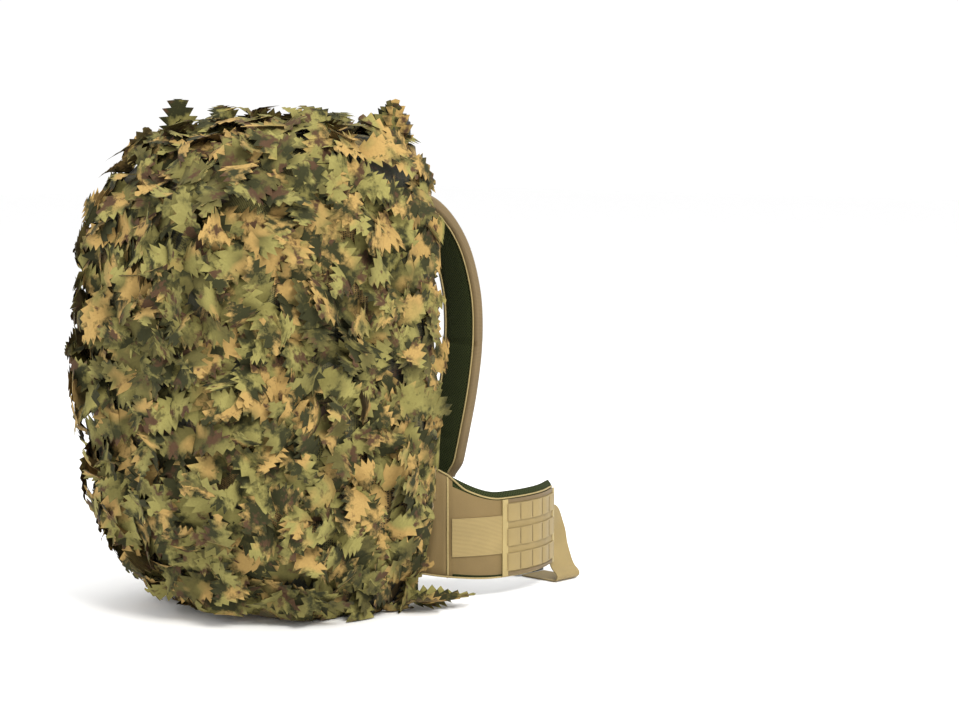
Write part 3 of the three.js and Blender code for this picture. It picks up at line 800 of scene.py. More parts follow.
def grow_leaves():
    sizes = leaf_sizes()
    rng = random.Random(sizes.seed)
    zones = {name: ([], [], [], []) for name in ("leaves_front", "leaves_top", "leaves_right", "leaves_left")}
    limit_low = [CAD_BOX[0][i] - 0.018 for i in range(3)]
    limit_high = [CAD_BOX[1][i] + 0.018 for i in range(3)]
    for point, normal in leaf_sites(rng, sizes):
        turn = rng.uniform(0, math.pi)
        first = normal.orthogonal().normalized()
        second = normal.cross(first)
        heading = first * math.cos(turn) + second * math.sin(turn)
        cloth_at = (rng.uniform(0, 9), rng.uniform(0, 9))
        zone = zones[zone_of(point)]
        for way in (1, -1):
            along = (heading * way + Vector((0, 0, -0.35))).normalized()
            along = (along - normal * along.dot(normal)).normalized()
            base = point + normal * rng.uniform(1.5, 6) * MM
            limit = sizes.stand_off * (1.0 if rng.random() < 0.2 else 0.74)
            limit *= 1.0 - 0.55 * ease((point.y - 0.05) / 0.08)
            made, faces, uvs, under = half_leaf(rng, base, along, normal, sizes, cloth_at, 1.0)
            for spot in made:
                stand = (spot - point).dot(normal)
                if stand > limit:
                    spot -= normal * (stand - limit) * 0.85
                if stand < 0.5 * MM:
                    spot += normal * (0.5 * MM - stand) * 0.85
                behind = COVER_BACK + (16 - 12 * ease((0.27 - spot.z) / 0.04)) * MM
                spot.y -= max(0.0, spot.y - behind) * 0.85
                for axis in (0, 1, 2):
                    spot[axis] = min(max(spot[axis], limit_low[axis]), limit_high[axis])
                spot.z = max(spot.z, (1.2 + 13 * ease(-spot.y / 0.12)) * MM)
            add_leaf(zone, made, faces, uvs, under)
    for base, along, out, zone_name in LONE_LEAVES:
        made, faces, uvs, under = half_leaf(
            rng, base, Vector(along).normalized(), Vector(out).normalized(), sizes,
            (rng.uniform(0, 9), rng.uniform(0, 9)), LONE_BEND)
        made = [Vector((min(p.x, LONE_SIDE), p.y, min(max(p.z, LONE_FLOOR), LONE_TOP))) for p in made]
        add_leaf(zones[zone_name], made, faces, uvs, under)
    for name, (points, faces, uvs, under) in zones.items():
        mesh_piece(name + "_cloth", points, faces, ["printed leaf cloth", "printed leaf cloth back"], "cover",
                   [name], face_finish=under, uvs=uvs, sharp=75)


class RUCKSACK_OT_cover_cloth(bpy.types.Operator):
    """The cover's coated lining and its netting"""
    bl_idname = "rucksack.cover_cloth"
    bl_label = "Cover cloth"

    def execute(self, context):
        lining = cover_sheet("coated_lining", -2.2 * MM, 1.2 * MM, 0.05, "coated nylon",
                             ["cover_lining"], 5.0)
        net = cover_sheet("cover_net", 0.0, 1.8 * MM, 0.045, "knitted net", ["cover_mesh"], 9.0)
        return {"FINISHED"}


class RUCKSACK_OT_leaves(bpy.types.Operator):
    """Double cloth leaves, stitched across their middles all over the cover"""
    bl_idname = "rucksack.leaves"
    bl_label = "Leaves"

    def execute(self, context):
        grow_leaves()
        return {"FINISHED"}


# ---- Hard pieces made by hand: a primitive, shaped, bevelled and cut ----
def block(low, high, round_=0.0, steps=2):
    """A box between two corners with rounded edges, as its own object at the origin."""
    bpy.ops.object.select_all(action="DESELECT")
    middle = [(a + b) / 2 for a, b in zip(low, high)]
    bpy.ops.mesh.primitive_cube_add(size=1, location=middle)
    obj = bpy.context.object
    obj.scale = [b - a for a, b in zip(low, high)]
    bpy.ops.object.transform_apply(location=True, rotation=True, scale=True)
    if round_:
        bpy.ops.object.mode_set(mode="EDIT")
        bpy.ops.mesh.select_all(action="SELECT")
        bpy.ops.mesh.bevel(offset=round_, segments=steps, affect="EDGES")
        bpy.ops.object.mode_set(mode="OBJECT")
    return obj


def barrel(middle, radius, low, high, round_, sides=32):
    """An upright round bar with rounded rims."""
    bpy.ops.object.select_all(action="DESELECT")
    bpy.ops.mesh.primitive_cylinder_add(
        vertices=sides, radius=radius, depth=high - low, location=(middle[0], middle[1], (low + high) / 2))
    obj = bpy.context.object
    bpy.ops.object.transform_apply(location=True, rotation=True, scale=True)
    bpy.ops.object.mode_set(mode="EDIT")
    bpy.ops.mesh.select_all(action="SELECT")
    bpy.ops.mesh.dissolve_limited(angle_limit=math.radians(1))
    bpy.ops.mesh.select_all(action="DESELECT")
    bpy.ops.object.mode_set(mode="OBJECT")
    for edge in obj.data.edges:
        a, b = (obj.data.vertices[v].co.z for v in edge.vertices)
        edge.select = abs(a - b) < 1e-6
    bpy.ops.object.mode_set(mode="EDIT")
    bpy.ops.mesh.bevel(offset=round_, segments=3, affect="EDGES")
    bpy.ops.mesh.select_all(action="SELECT")
    bpy.ops.mesh.normals_make_consistent(inside=False)
    bpy.ops.object.mode_set(mode="OBJECT")
    return obj


FEWEST_FACES = 12       # any cut piece has more


def combine(obj, tool, operation):
    """Adds the tool to the piece, or cuts it out, and takes the tool away."""
    pick_only(obj)
    modifier = obj.modifiers.new("tool", "BOOLEAN")
    modifier.operation = operation
    modifier.solver = "EXACT"
    modifier.object = tool
    bpy.ops.object.modifier_apply(modifier="tool")
    bpy.data.objects.remove(tool)
    if len(obj.data.polygons) < FEWEST_FACES:
        raise RuntimeError("a cut left nothing of the piece")
    return obj


def hard_piece(obj, name, finish, body, nodes, sharp=35):
    obj.name = name
    obj.data.name = name
    obj.data.materials.clear()
    obj.data.materials.append(finish_named(finish))
    pick_only(obj)
    bpy.ops.object.shade_smooth_by_angle(angle=math.radians(sharp))
    settle(obj, body, nodes)
    return obj


# ---- Routes of the harness, the same as the CAD model's, in millimetres ----
STRAP_ROUTE = ((86, 149.3, 566), (86, 186, 578), (91, 238, 562), (102, 278, 512), (110, 299, 440),
               (114, 300, 370), (113, 291, 300), (106, 280, 230), (98, 270, 168))
LIFTER_ROUTE = ((70, 147.3, 622), (78, 178.3, 610), (91, 234, 581))
LIFTER_TAIL = ((92, 212, 556), (95, 224, 536), (99, 231, 500), (97, 218, 456))
LOWER_ROUTE = ((98, 269, 134), (95, 256, 118), (88, 208, 90), (84, 145.75, 58))
WING_ROUTE = ((102, 164, 0), (140, 178, 0), (174, 200, 0), (204, 248, 0), (215, 304, 0), (210, 354, 0),
              (190, 402, 0))
BELT_ROUTE = ((187.5, 408.5, 90), (183, 420, 87), (180, 427, 70), (185, 430, 44), (196, 430, 20),
              (204, 430, 13), (207, 430, 8), (203, 430, 2.2), (187, 430, 1.4), (136, 430, 1.4))
HAUL_ROUTE = ((-40, 154.3, 606), (-38, 161.8, 586.2), (-20, 169.3, 566.4), (0, 169.3, 562),
              (20, 169.3, 566.4), (38, 161.8, 586.2), (40, 154.3, 606))
STRAP_OUTER = ((-35, 2.5), (-34, 5.6), (-30, 7.8), (-21, 9.2), (-10, 9.9), (0, 10), (10, 9.9), (21, 9.2),
               (30, 7.8), (34, 5.6), (35, 2.5))
STRAP_INNER = ((35, -2.5), (34, -5.6), (29, -8), (26.5, -6.8), (22, -8.8), (15, -9.6), (7, -9.9), (0, -10),
               (-7, -9.9), (-15, -9.6), (-22, -8.8), (-26.5, -6.8), (-29, -8), (-34, -5.6), (-35, -2.5))
CROSS_SEAM_Z = 359
WING_THICK = 14
WING_TAPER = 0.55
SLEEVE_START = 0.56
SLEEVE_ROWS = (51, 87, 123)
SLEEVE_CELLS = 5


def metres(points):
    return [Vector(p) * MM for p in points]


def sided(points, sign):
    return [Vector((p.x * sign, p.y, p.z)) for p in points]


def strip(name, line, pairs, section_at, finishes, finish_of, body, nodes, sharp=60, uv_of=None):
    """A padded or flat strip: a section swept along a line, with a finish for each of its sides."""
    made, faces, uvs = sweep(line, pairs, section_at)
    sides = len(section_at(0))
    kinds = [finish_of(i // sides, i % sides) for i in range(len(faces) - 2)] + [0, 0]
    if uv_of:
        uvs = [uv_of(u, section_at(i // sides)[i % sides]) for i, (u, _v) in enumerate(uvs)]
    return mesh_piece(name, made, faces, finishes, body, nodes, face_finish=kinds, uvs=uvs, sharp=sharp)


def across_strap(_share):
    return (-1, 0, 0)


def shoulder_strap(side, sign):
    """A padded strap: tan shell outside, dark mesh inside, bound edges and a piped seam."""
    line = sided(curve_through(metres(STRAP_ROUTE), 130), sign)
    pairs = frames_along(line, across_strap)
    ring = [*STRAP_OUTER, *STRAP_INNER]
    outer = len(STRAP_OUTER)
    length_ = line_length(line)
    seam = min(range(len(line)), key=lambda i: abs(line[i].z - CROSS_SEAM_Z * MM) + (line[i].y < 0.25))

    def section_at(i):
        t = i / (len(line) - 1)
        taper = 1 - 0.32 * ease((t - 0.93) / 0.07) ** 2
        crumple = 1.7 * math.exp(-((t - 0.24) / 0.10) ** 2) + 0.7 * math.exp(-((t - 0.9) / 0.08) ** 2) + 0.25
        section = []
        for k, (a, f) in enumerate(ring):
            inside = k >= outer
            crown = 1 - (a / 35) ** 2
            spot = Vector((t * length_ / (15 * MM), a / 46, 3.0 * sign + (7 if inside else 0)))
            fold = noise.noise(spot) * crumple * (1.7 if inside else 0.8) * crown
            groove = 2.6 * math.exp(-((i - seam) / 1.1) ** 2) * min(1, 4 * crown)
            depth = f + (fold + groove if inside else fold - groove * 0.6)
            section.append((a * taper * MM, depth * MM))
        return section

    def finish_of(_i, k):
        a, f = ring[k]
        b = ring[(k + 1) % len(ring)][0]
        edge = min(abs(a), abs(b))
        if k >= outer and k < len(ring) - 1 and edge <= 26.4:
            return 1
        return 2 if edge >= 26.4 and (k >= outer - 1 or edge >= 30) else 0

    body = "strap_" + side
    piece = strip("shoulder_strap_pad_" + side, line, pairs, section_at,
                  ["textured nylon by map", "spacer mesh", "binding tape"], finish_of, body,
                  ["shoulder_strap_" + side], uv_of=lambda u, s: (u, s[0]))
    for edge in (-1, 1):
        path = []
        for i, (spot, (across, face)) in enumerate(zip(line, pairs)):
            taper = 1 - 0.32 * ease((i / (len(line) - 1) - 0.93) / 0.07) ** 2
            path.append(spot + across * edge * 27.6 * taper * MM - face * 8.1 * MM)
        round_tube(f"shoulder_strap_piping_{side}_{'inner' if edge > 0 else 'outer'}", path[1:-1], 1.25 * MM,
                   body, "piping", sides=6)
    fine = curve_through(metres(STRAP_ROUTE), 201)
    backing = sided(evenly(fine[24:], 70), sign)
    section = flat_section(26 * MM, 1.6 * MM, 4, 11.2 * MM)
    flat_strap("strap_backing_webbing_" + side, backing, frames_along(backing, across_strap), section, body,
               ["strap_backing_" + side])
    for share in (0.02, 0.24, 0.46, 0.68, 0.985):
        at = round(share * (len(backing) - 1))
        stitch_bar(f"strap_bartack_{side}_{round(share * 100)}", backing, at, across_strap, 22, 12.6, body)


def stitch_bar(name, line, at, across, width, lift, body):
    """A bartack: a dense zigzag of thread across a strap."""
    side, face = frames_along(line, across)[at]
    along = face.cross(side).normalized()
    path = []
    turns = 24
    for k in range(turns + 1):
        a = (k / turns - 0.5) * width * MM
        path.append(line[at] + side * a + face * lift * MM + along * (1.4 * MM if k % 2 else -1.4 * MM))
    round_tube(name, path, 0.45 * MM, body, "binding tape", sides=4)


def ladder_lock(side):
    """A moulded ladder lock: a plate with two slots, a middle bar and a thumb lip."""
    low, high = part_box("strap_adjuster_" + side)
    x0, x1 = low[0], high[0]
    y = (low[1] + high[1]) / 2
    plate = block((x0, y - 2.4 * MM, low[2]), (x1, y + 2.4 * MM, high[2]), 1.6 * MM, 3)
    for z in (low[2] + 8 * MM, high[2] - 7 * MM):
        slot = block((x0 + 4 * MM, y - 8 * MM, z - 2.4 * MM), (x1 - 4 * MM, y + 8 * MM, z + 2.4 * MM), 1 * MM)
        combine(plate, slot, "DIFFERENCE")
    lip = block((x0 + 1 * MM, y + 0.5 * MM, low[2] + 0.4 * MM),
                (x1 - 1 * MM, high[1] - 0.2 * MM, low[2] + 3.6 * MM), 1.2 * MM)
    combine(plate, lip, "UNION")
    bar = block((x0 + 1 * MM, y - 4 * MM, low[2] + 11.4 * MM),
                (x1 - 1 * MM, y + 1 * MM, low[2] + 15.4 * MM), 1.3 * MM)
    combine(plate, bar, "UNION")
    hard_piece(plate, "ladder_lock_" + side, "moulded acetal", "strap_" + side,
               ["strap_adjuster_" + side])


def blended_strap(name, route, sign, width, body, node, near_rucksack_first, thick=1.6):
    """A flat strap from the rucksack to a part that swings, fixed where it is made."""
    line = sided(curve_through(metres(route), 40), sign)
    section = flat_section(width * MM, thick * MM, 4)
    fixed, moving = (line[0], line[-1]) if near_rucksack_first else (line[-1], line[0])
    flat_strap(name, line, frames_along(line, across_strap), section, ("rucksack", body, fixed, moving), [node])


class RUCKSACK_OT_shoulder_straps(bpy.types.Operator):
    """Padded shoulder straps with their webbing, ladder locks, load lifters and tails"""
    bl_idname = "rucksack.shoulder_straps"
    bl_label = "Shoulder straps"

    def execute(self, context):
        for side, sign in SIDES:
            shoulder_strap(side, sign)
            ladder_lock(side)
            body = "strap_" + side
            blended_strap("lower_strap_" + side, LOWER_ROUTE, sign, 20, body, "lower_webbing_" + side, False)
            blended_strap("lifter_strap_" + side, LIFTER_ROUTE, sign, 20, body, "load_lifter_" + side, True)
            line = sided(curve_through(metres(LIFTER_TAIL), 36), sign)
            section = flat_section(20 * MM, 1.6 * MM, 4)
            flat_strap("lifter_tail_webbing_" + side, line, frames_along(line, across_strap), section, body,
                       ["lifter_tail_" + side])
        line = curve_through(metres(HAUL_ROUTE), 60)
        section = flat_section(20 * MM, 3.2 * MM, 4)
        flat_strap("haul_loop_webbing", line, frames_along(line, lambda t: (0, 1, 0)), section, "haul_loop",
                   ["haul_loop"])
        return {"FINISHED"}


# ---- Hip belt ----
def wing_edges(t):
    share = ease(t / WING_TAPER)
    return 40 + (28 - 40) * share, 214 + (153 - 214) * share


def wing_line(sign, count, start=0.0, end=1.0):
    fine = curve_through(metres(WING_ROUTE), 401)
    part = fine[round(start * 400):round(end * 400) + 1]
    return sided(evenly(part, count), sign)


def wing_pairs(line, sign):
    """Upright across, and facing away from the wearer on either side."""
    return [(Vector((0, 0, sign)), face) for _side, face in frames_along(line, lambda t: (0, 0, sign))]


def on_wing(name, sign, start, end, low, high, thick, lift, count, finishes, body, nodes, puff=None,
            columns=6):
    """A flat layer on the outside of a wing, between two heights in millimetres."""
    line = wing_line(sign, count, start, end)
    pairs = wing_pairs(line, sign)
    middle, width = (low + high) / 2, high - low
    ring = flat_section(width, thick, columns)

    def section_at(i):
        rise = puff(i / (count - 1)) if puff else 0.0
        return [((a + middle if sign > 0 else a - middle) * MM,
                 (f + lift + (rise if f > 0 else 0.0)) * MM) for a, f in ring]

    made, faces, uvs = sweep(line, pairs, section_at)
    flat = [(u, ring[i % len(ring)][0] * MM) for i, (u, _v) in enumerate(uvs)]
    return mesh_piece(name, made, faces, finishes, body, nodes, uvs=flat, sharp=40)


def hip_wing(side, sign):
    count = 90
    columns = 22
    line = wing_line(sign, count)
    pairs = wing_pairs(line, sign)
    body = "hip_wing_" + side

    def section_at(i):
        t = i / (count - 1)
        low, high = wing_edges(t)
        ring = []
        for face in (1, -1):
            for k in range(columns + 1):
                share = k / columns if face > 0 else 1 - k / columns
                round_ = 1 - abs(2 * share - 1) ** 7
                z = low + (high - low) * share
                depth = 6.2 * round_ ** 0.5 + 0.8
                crease = 0.0
                if face > 0:
                    pleat = math.exp(-(t / 0.24) ** 4)
                    crease = -3.6 * pleat * (0.5 + 0.5 * math.sin(t * 82 + 2.6 * noise.noise((z / 70, 0, 0))))
                    crease += 0.7 * noise.noise((t * 14, z / 34, 3.0 * sign))
                    crease -= 2.2 * math.exp(-((t - 0.285) / 0.008) ** 2)
                else:
                    crease = 1.1 * noise.noise((t * 16, z / 28, 8.0 * sign)) - 0.3
                    crease -= 1.6 * math.exp(-((abs(z - (low + high) / 2) - 26) / 3) ** 2)
                crease *= round_
                ring.append((z * sign * MM, face * (depth + crease) * MM))
        if sign < 0:
            half = columns + 1
            ring = [*reversed(ring[:half]), *reversed(ring[half:])]
        return ring

    def finish_of(i, k):
        t = i / (count - 1)
        half = columns + 1
        if k >= half or k == columns:
            return 1
        share = k / columns if sign > 0 else 1 - (k + 1) / columns
        if t > 0.3 and (share > 0.87 or share < 0.02):
            return 1
        return 1 if t > SLEEVE_START else 0

    piece = strip("hip_wing_pad_" + side, line, pairs, section_at, ["textured nylon by map", "spacer mesh"],
                  finish_of, body, ["hip_wing_" + side], uv_of=lambda u, s: (u, s[0]))
    at = round(0.285 * (count - 1))
    spot, out = line[at], pairs[at][1]
    low, high = wing_edges(0.285)
    path = [spot + Vector((0, 0, (low + (high - low) * k / 24) * MM))
            + out * 6.4 * MM * (1 - abs(k / 12 - 1) ** 8) ** 0.5 for k in range(25)]
    round_tube("wing_piping_" + side, path, 1.6 * MM, body, "piping", sides=6)
    flap = wing_line(sign, 14, 0.02, 0.23)
    flap_pairs = wing_pairs(flap, sign)

    def flap_section(i):
        low_, high_ = wing_edges(0.02 + 0.21 * i / 13)
        depth = 15 + 30 * ease(i / 13)
        top = high_ + 1.5
        ring = [(top - depth, 8.6), (top - depth * 0.5, 9.8), (top - 3, 8.8), (top, 4.5), (top - 3, 6.8),
                (top - depth * 0.5, 7.8), (top - depth, 7.4)]
        ring = [(z * MM, f * MM) for z, f in ring]
        return ring if sign > 0 else [(-z, f) for z, f in reversed(ring)]

    strip("wing_flap_" + side, flap, flap_pairs, flap_section, ["webbing by place"], lambda i, k: 0, body,
          ())
    for edge, share in (("top", 1), ("bottom", 0)):
        path = []
        for i in range(count):
            t = i / (count - 1)
            low, high = wing_edges(t)
            z = high - 9 * ease((t - 0.27) / 0.1) if share else low + 1.5
            path.append(line[i] + Vector((0, 0, z * MM)) + pairs[i][1] * (6.4 if share and t > 0.3 else 4.2) * MM)
        round_tube(f"wing_edge_piping_{edge}_{side}", path, 1.3 * MM, body, "piping", sides=6)


def sleeve(side, sign):
    """The load sleeve on the wing: cloth bound at its edges, three rows of webbing, stitched in columns."""
    body = "hip_wing_" + side
    base = WING_THICK / 2 + 0.45
    on_wing("sleeve_cloth_" + side, sign, SLEEVE_START, 1.0, 32, 141, 1.6, base + 0.8, 60,
            ["nylon webbing"], body, ["webbing_sleeve_" + side], columns=10)

    def puff(t):
        return 1.3 * abs(math.sin(math.pi * SLEEVE_CELLS * t)) ** 0.6

    for row, z in enumerate(SLEEVE_ROWS):
        on_wing(f"sleeve_row_{row + 1}_{side}", sign, SLEEVE_START + 0.01, 0.985, z - 12.5, z + 12.5, 1.3,
                base + 2.6, 81, ["nylon webbing"], body, (), puff)
        line = wing_line(sign, 81, SLEEVE_START + 0.01, 0.985)
        for cell in range(SLEEVE_CELLS + 1):
            at = min(79, max(1, round(cell * 80 / SLEEVE_CELLS)))
            out = wing_pairs(line, sign)[at][1]
            along = out.cross(Vector((0, 0, 1)))
            path = [line[at] + Vector((0, 0, (z - 11.5 + 23 * k / 20) * MM)) + out * (base + 3.5) * MM
                    + along * (0.9 * MM if k % 2 else -0.9 * MM) for k in range(21)]
            round_tube(f"sleeve_stitch_{row + 1}_{cell}_{side}", path, 0.5 * MM, body, "binding tape",
                       sides=4)
    for name, start, end in (("root", SLEEVE_START - 0.012, SLEEVE_START + 0.018), ("end", 0.972, 1.0)):
        on_wing(f"sleeve_binding_{name}_{side}", sign, start, end, 31, 142, 2.6, base + 1.5, 6,
                ["piping"], body, (), columns=8)
    for name, low, high in (("top", 137, 142), ("bottom", 31, 36)):
        on_wing(f"sleeve_binding_{name}_{side}", sign, SLEEVE_START, 1.0, low, high, 2.2, base + 1.3, 60,
                ["binding tape"], body, (), columns=3)


def belt_across(share):
    """Upright where it leaves the wing, then flat on the floor."""
    turn = min(1.0, share / 0.28) * math.pi / 2
    return (0, math.sin(turn), math.cos(turn))


def belt_webbing(side, sign):
    body = "hip_wing_" + side
    line = sided(curve_through(metres(BELT_ROUTE), 90), sign)
    pairs = frames_along(line, belt_across)
    ring = flat_section(50 * MM, 1.7 * MM, 6)
    made, faces, uvs = sweep(line, pairs, lambda i: ring)
    for point in made:
        point.z = max(point.z, 0.3 * MM)
    mesh_piece("belt_strap_" + side, made, faces, ["wide ribbed webbing"], body,
               ["belt_webbing_" + side], uvs=strap_uvs(ring, uvs), sharp=40)


def webbing_slots(obj, places, low, high):
    """Cuts the slots that the belt's webbing threads through."""
    for x in places:
        combine(obj, block((x - 2 * MM, low[1] + 3.5 * MM, low[2] - 2 * MM),
                           (x + 2 * MM, high[1] - 3.5 * MM, high[2] + 2 * MM), 0.8 * MM), "DIFFERENCE")


def belt_plug():
    """The pronged half of the belt's side release buckle, lying open on its webbing's end."""
    low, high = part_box("belt_buckle_plug")
    x0, x1 = low[0], high[0]
    y0, y1 = low[1], high[1]
    y = (y0 + y1) / 2
    z0, z1 = low[2], high[2]
    z = (z0 + z1) / 2
    frame_ = block((x1 - 25 * MM, y0, z0 + 1 * MM), (x1, y1, z1 - 2 * MM), 1.8 * MM, 3)
    webbing_slots(frame_, (x1 - 6.5 * MM, x1 - 14.5 * MM), low, high)
    middle = block((x0 + 7 * MM, y - 3.6 * MM, z - 2.6 * MM),
                   (x1 - 22 * MM, y + 3.6 * MM, z + 2.6 * MM), 1.2 * MM, 2)
    combine(frame_, middle, "UNION")
    for sign in (1, -1):
        arm = block((x0 + 4 * MM, y + sign * 18 * MM - 2.6 * MM, z - 2.8 * MM),
                    (x1 - 22 * MM, y + sign * 18 * MM + 2.6 * MM, z + 2.8 * MM), 1.1 * MM, 2)
        combine(frame_, arm, "UNION")
        head = block((x0, y + sign * 20.5 * MM - 5.5 * MM, z - 3.6 * MM),
                     (x0 + 17 * MM, y + sign * 20.5 * MM + 5.5 * MM, z + 3.6 * MM), 2.2 * MM, 3)
        combine(frame_, head, "UNION")
    hard_piece(frame_, "belt_plug_moulding", "moulded acetal", "belt_plug", ["belt_buckle_plug"])


def belt_socket():
    """The hollow half of the belt's side release buckle, with windows for the prongs' heads."""
    low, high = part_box("belt_buckle_socket")
    x0, x1 = low[0], high[0]
    y0, y1 = low[1], high[1]
    z0, z1 = low[2], high[2]
    shell_ = block((x0 + 20 * MM, y0, z0), (x1, y1, z1), 2.6 * MM, 3)
    mouth = block((x0 + 30 * MM, y0 + 5 * MM, z0 + 2.2 * MM), (x1 + 5 * MM, y1 - 5 * MM, z1 - 2.2 * MM), 1 * MM)
    combine(shell_, mouth, "DIFFERENCE")
    for edge in (y0, y1):
        window = block((x1 - 24 * MM, edge - 6 * MM, z0 + 2.4 * MM),
                       (x1 - 8 * MM, edge + 6 * MM, z1 - 2.4 * MM), 1 * MM)
        combine(shell_, window, "DIFFERENCE")
    tail = block((x0, y0, z0 + 1 * MM), (x0 + 23 * MM, y1, z1 - 2 * MM), 1.8 * MM, 3)
    webbing_slots(tail, (x0 + 6.5 * MM, x0 + 14.5 * MM), low, high)
    combine(shell_, tail, "UNION")
    hard_piece(shell_, "belt_socket_moulding", "moulded acetal", "belt_socket",
               ["belt_buckle_socket"])


class RUCKSACK_OT_hip_belt(bpy.types.Operator):
    """Padded hip wings with their bands, load sleeves, webbing and the open buckle"""
    bl_idname = "rucksack.hip_belt"
    bl_label = "Hip belt"

    def execute(self, context):
        for side, sign in SIDES:
            hip_wing(side, sign)
            on_wing("wing_band_webbing_" + side, sign, 0.3, 0.55, 64.5, 119.5, 1.8, WING_THICK / 2 + 1.3, 40,
                    ["wide ribbed webbing"], "hip_wing_" + side, ["wing_band_" + side])
            sleeve(side, sign)
            belt_webbing(side, sign)
        belt_plug()
        belt_socket()
        return {"FINISHED"}


# ---- The rucksack's padded and full pieces ----
def soft_copy(node, name, voxel, rounds):
    """A merged copy of a CAD solid, remeshed evenly and relaxed, ready to be made soft."""
    obj = bpy.data.objects.new(name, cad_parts[node].data.copy())
    bpy.context.scene.collection.objects.link(obj)
    pick_only(obj)
    bpy.ops.object.mode_set(mode="EDIT")
    bpy.ops.mesh.select_all(action="SELECT")
    bpy.ops.mesh.remove_doubles(threshold=0.02 * MM)
    bpy.ops.mesh.normals_make_consistent(inside=False)
    bpy.ops.object.mode_set(mode="OBJECT")
    remesh = obj.modifiers.new("remesh", "REMESH")
    remesh.mode = "VOXEL"
    remesh.voxel_size = voxel
    bpy.ops.object.modifier_apply(modifier="remesh")
    relax = obj.modifiers.new("relax", "SMOOTH")
    relax.factor = 0.5
    relax.iterations = rounds
    bpy.ops.object.modifier_apply(modifier="relax")
    return obj


def inflate(obj, pressure, cap):
    """Swells a sewn piece with Blender's cloth, then holds every point within `cap` of where it began."""
    start = [v.co.copy() for v in obj.data.vertices]
    cloth = obj.modifiers.new("cloth", "CLOTH")
    cloth.settings.use_pressure = True
    cloth.settings.uniform_pressure_force = pressure
    cloth.settings.effector_weights.gravity = 0
    cloth.settings.quality = 4
    cloth.settings.mass = 0.3
    cloth.collision_settings.use_collision = False
    scene = bpy.context.scene
    for step in range(1, 21):
        scene.frame_set(step)
    shaped = obj.evaluated_get(bpy.context.evaluated_depsgraph_get())
    ends = [v.co.copy() for v in shaped.data.vertices]
    obj.modifiers.remove(cloth)
    scene.frame_set(1)
    for vertex, was, now in zip(obj.data.vertices, start, ends):
        move = now - was
        if move.length > cap:
            move *= cap / move.length
        vertex.co = was + move


def crease(obj, size, depth, seed, low=None):
    """Broad soft creases over a full piece, none where it stands on the floor."""
    normals = [v.normal.copy() for v in obj.data.vertices]
    for vertex, normal in zip(obj.data.vertices, normals):
        hold = 1.0 if low is None else ease((vertex.co.z - low) / (25 * MM))
        stretched = Vector((vertex.co.x, vertex.co.y, vertex.co.z * 1.9))
        vertex.co += normal * (ripple(stretched, size, depth, seed) - depth * 0.3) * hold


def finish_soft(obj, finish, body, nodes, steps=1):
    if steps:
        pick_only(obj)
        smooth = obj.modifiers.new("smooth", "SUBSURF")
        smooth.levels = smooth.render_levels = steps
        bpy.ops.object.modifier_apply(modifier="smooth")
    obj.data.materials.clear()
    obj.data.materials.append(finish_named(finish))
    obj.data.polygons.foreach_set("use_smooth", [True] * len(obj.data.polygons))
    settle(obj, body, nodes)
    return obj


def surface_of(obj):
    mesh = obj.data
    return BVHTree.FromPolygons([v.co for v in mesh.vertices], [p.vertices[:] for p in mesh.polygons])


def laid_on(tree, spots, way, lift):
    """Points laid on a surface, looking at it along `way`, then lifted off it."""
    line = []
    for spot in spots:
        hit = tree.ray_cast(Vector(spot) - Vector(way) * 0.4, Vector(way))[0]
        if hit is not None:
            line.append(hit - Vector(way) * lift)
    return line


def zip_on(tree, name, spots, way, body="rucksack"):
    """A coil zip under a folded tape: the tape's two sides and the raised coil between them."""
    line = laid_on(tree, spots, way, 0.9 * MM)
    if len(line) < 4:
        raise RuntimeError(f"{name} misses its piece")
    line = evenly(line, 60)
    ring = flat_section(17 * MM, 1.6 * MM, 4)
    back = -Vector(way)
    pairs = []
    for i in range(len(line)):
        along = (line[min(len(line) - 1, i + 1)] - line[max(0, i - 1)]).normalized()
        side = back.cross(along).normalized()
        pairs.append((side, along.cross(side)))
    flat_strap(name + "_tape", line, pairs, ring, body, (), "binding tape")
    coil = []
    for k in range(4 * len(line)):
        at = min(len(line) - 1, k // 4)
        side, face = pairs[at]
        spot = line[at].lerp(line[min(len(line) - 1, at + 1)], (k % 4) / 4)
        coil.append(spot + face * 1.9 * MM + side * (1.1 * MM if k % 2 else -1.1 * MM))
    round_tube(name + "_coil", coil, 0.9 * MM, body, "moulded acetal", sides=5)
    pull = line[-6]
    tab = block((pull.x - 3 * MM, pull.y - 5 * MM, pull.z - 26 * MM),
                (pull.x + 3 * MM, pull.y - 2.6 * MM, pull.z + 2 * MM), 1.1 * MM, 2)
    hard_piece(tab, name + "_pull", "moulded acetal", body, ())


def buckle_on(node, body="rucksack"):
    """A small moulded buckle on a compression strap, with its release windows."""
    low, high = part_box(node)
    sign = 1 if low[0] > 0 else -1
    outer = high[0] if sign > 0 else low[0]
    face = sorted((outer, outer - sign * 6.5 * MM))
    shape = block((face[0], low[1], low[2]), (face[1], high[1], high[2]), 2 * MM, 3)
    for y in (low[1] + 6 * MM, high[1] - 6 * MM):
        combine(shape, block((face[0] - 5 * MM, y - 1.8 * MM, low[2] + 4 * MM),
                             (face[1] + 5 * MM, y + 1.8 * MM, high[2] - 4 * MM), 0.8 * MM), "DIFFERENCE")
    for z in (low[2], high[2]):
        combine(shape, block((face[0] - 5 * MM, low[1] + 14 * MM, z - 5 * MM),
                             (face[1] + 5 * MM, high[1] - 16 * MM, z + 5 * MM), 1.4 * MM), "DIFFERENCE")
    hard_piece(shape, node + "_moulding", "moulded acetal", body, [node])


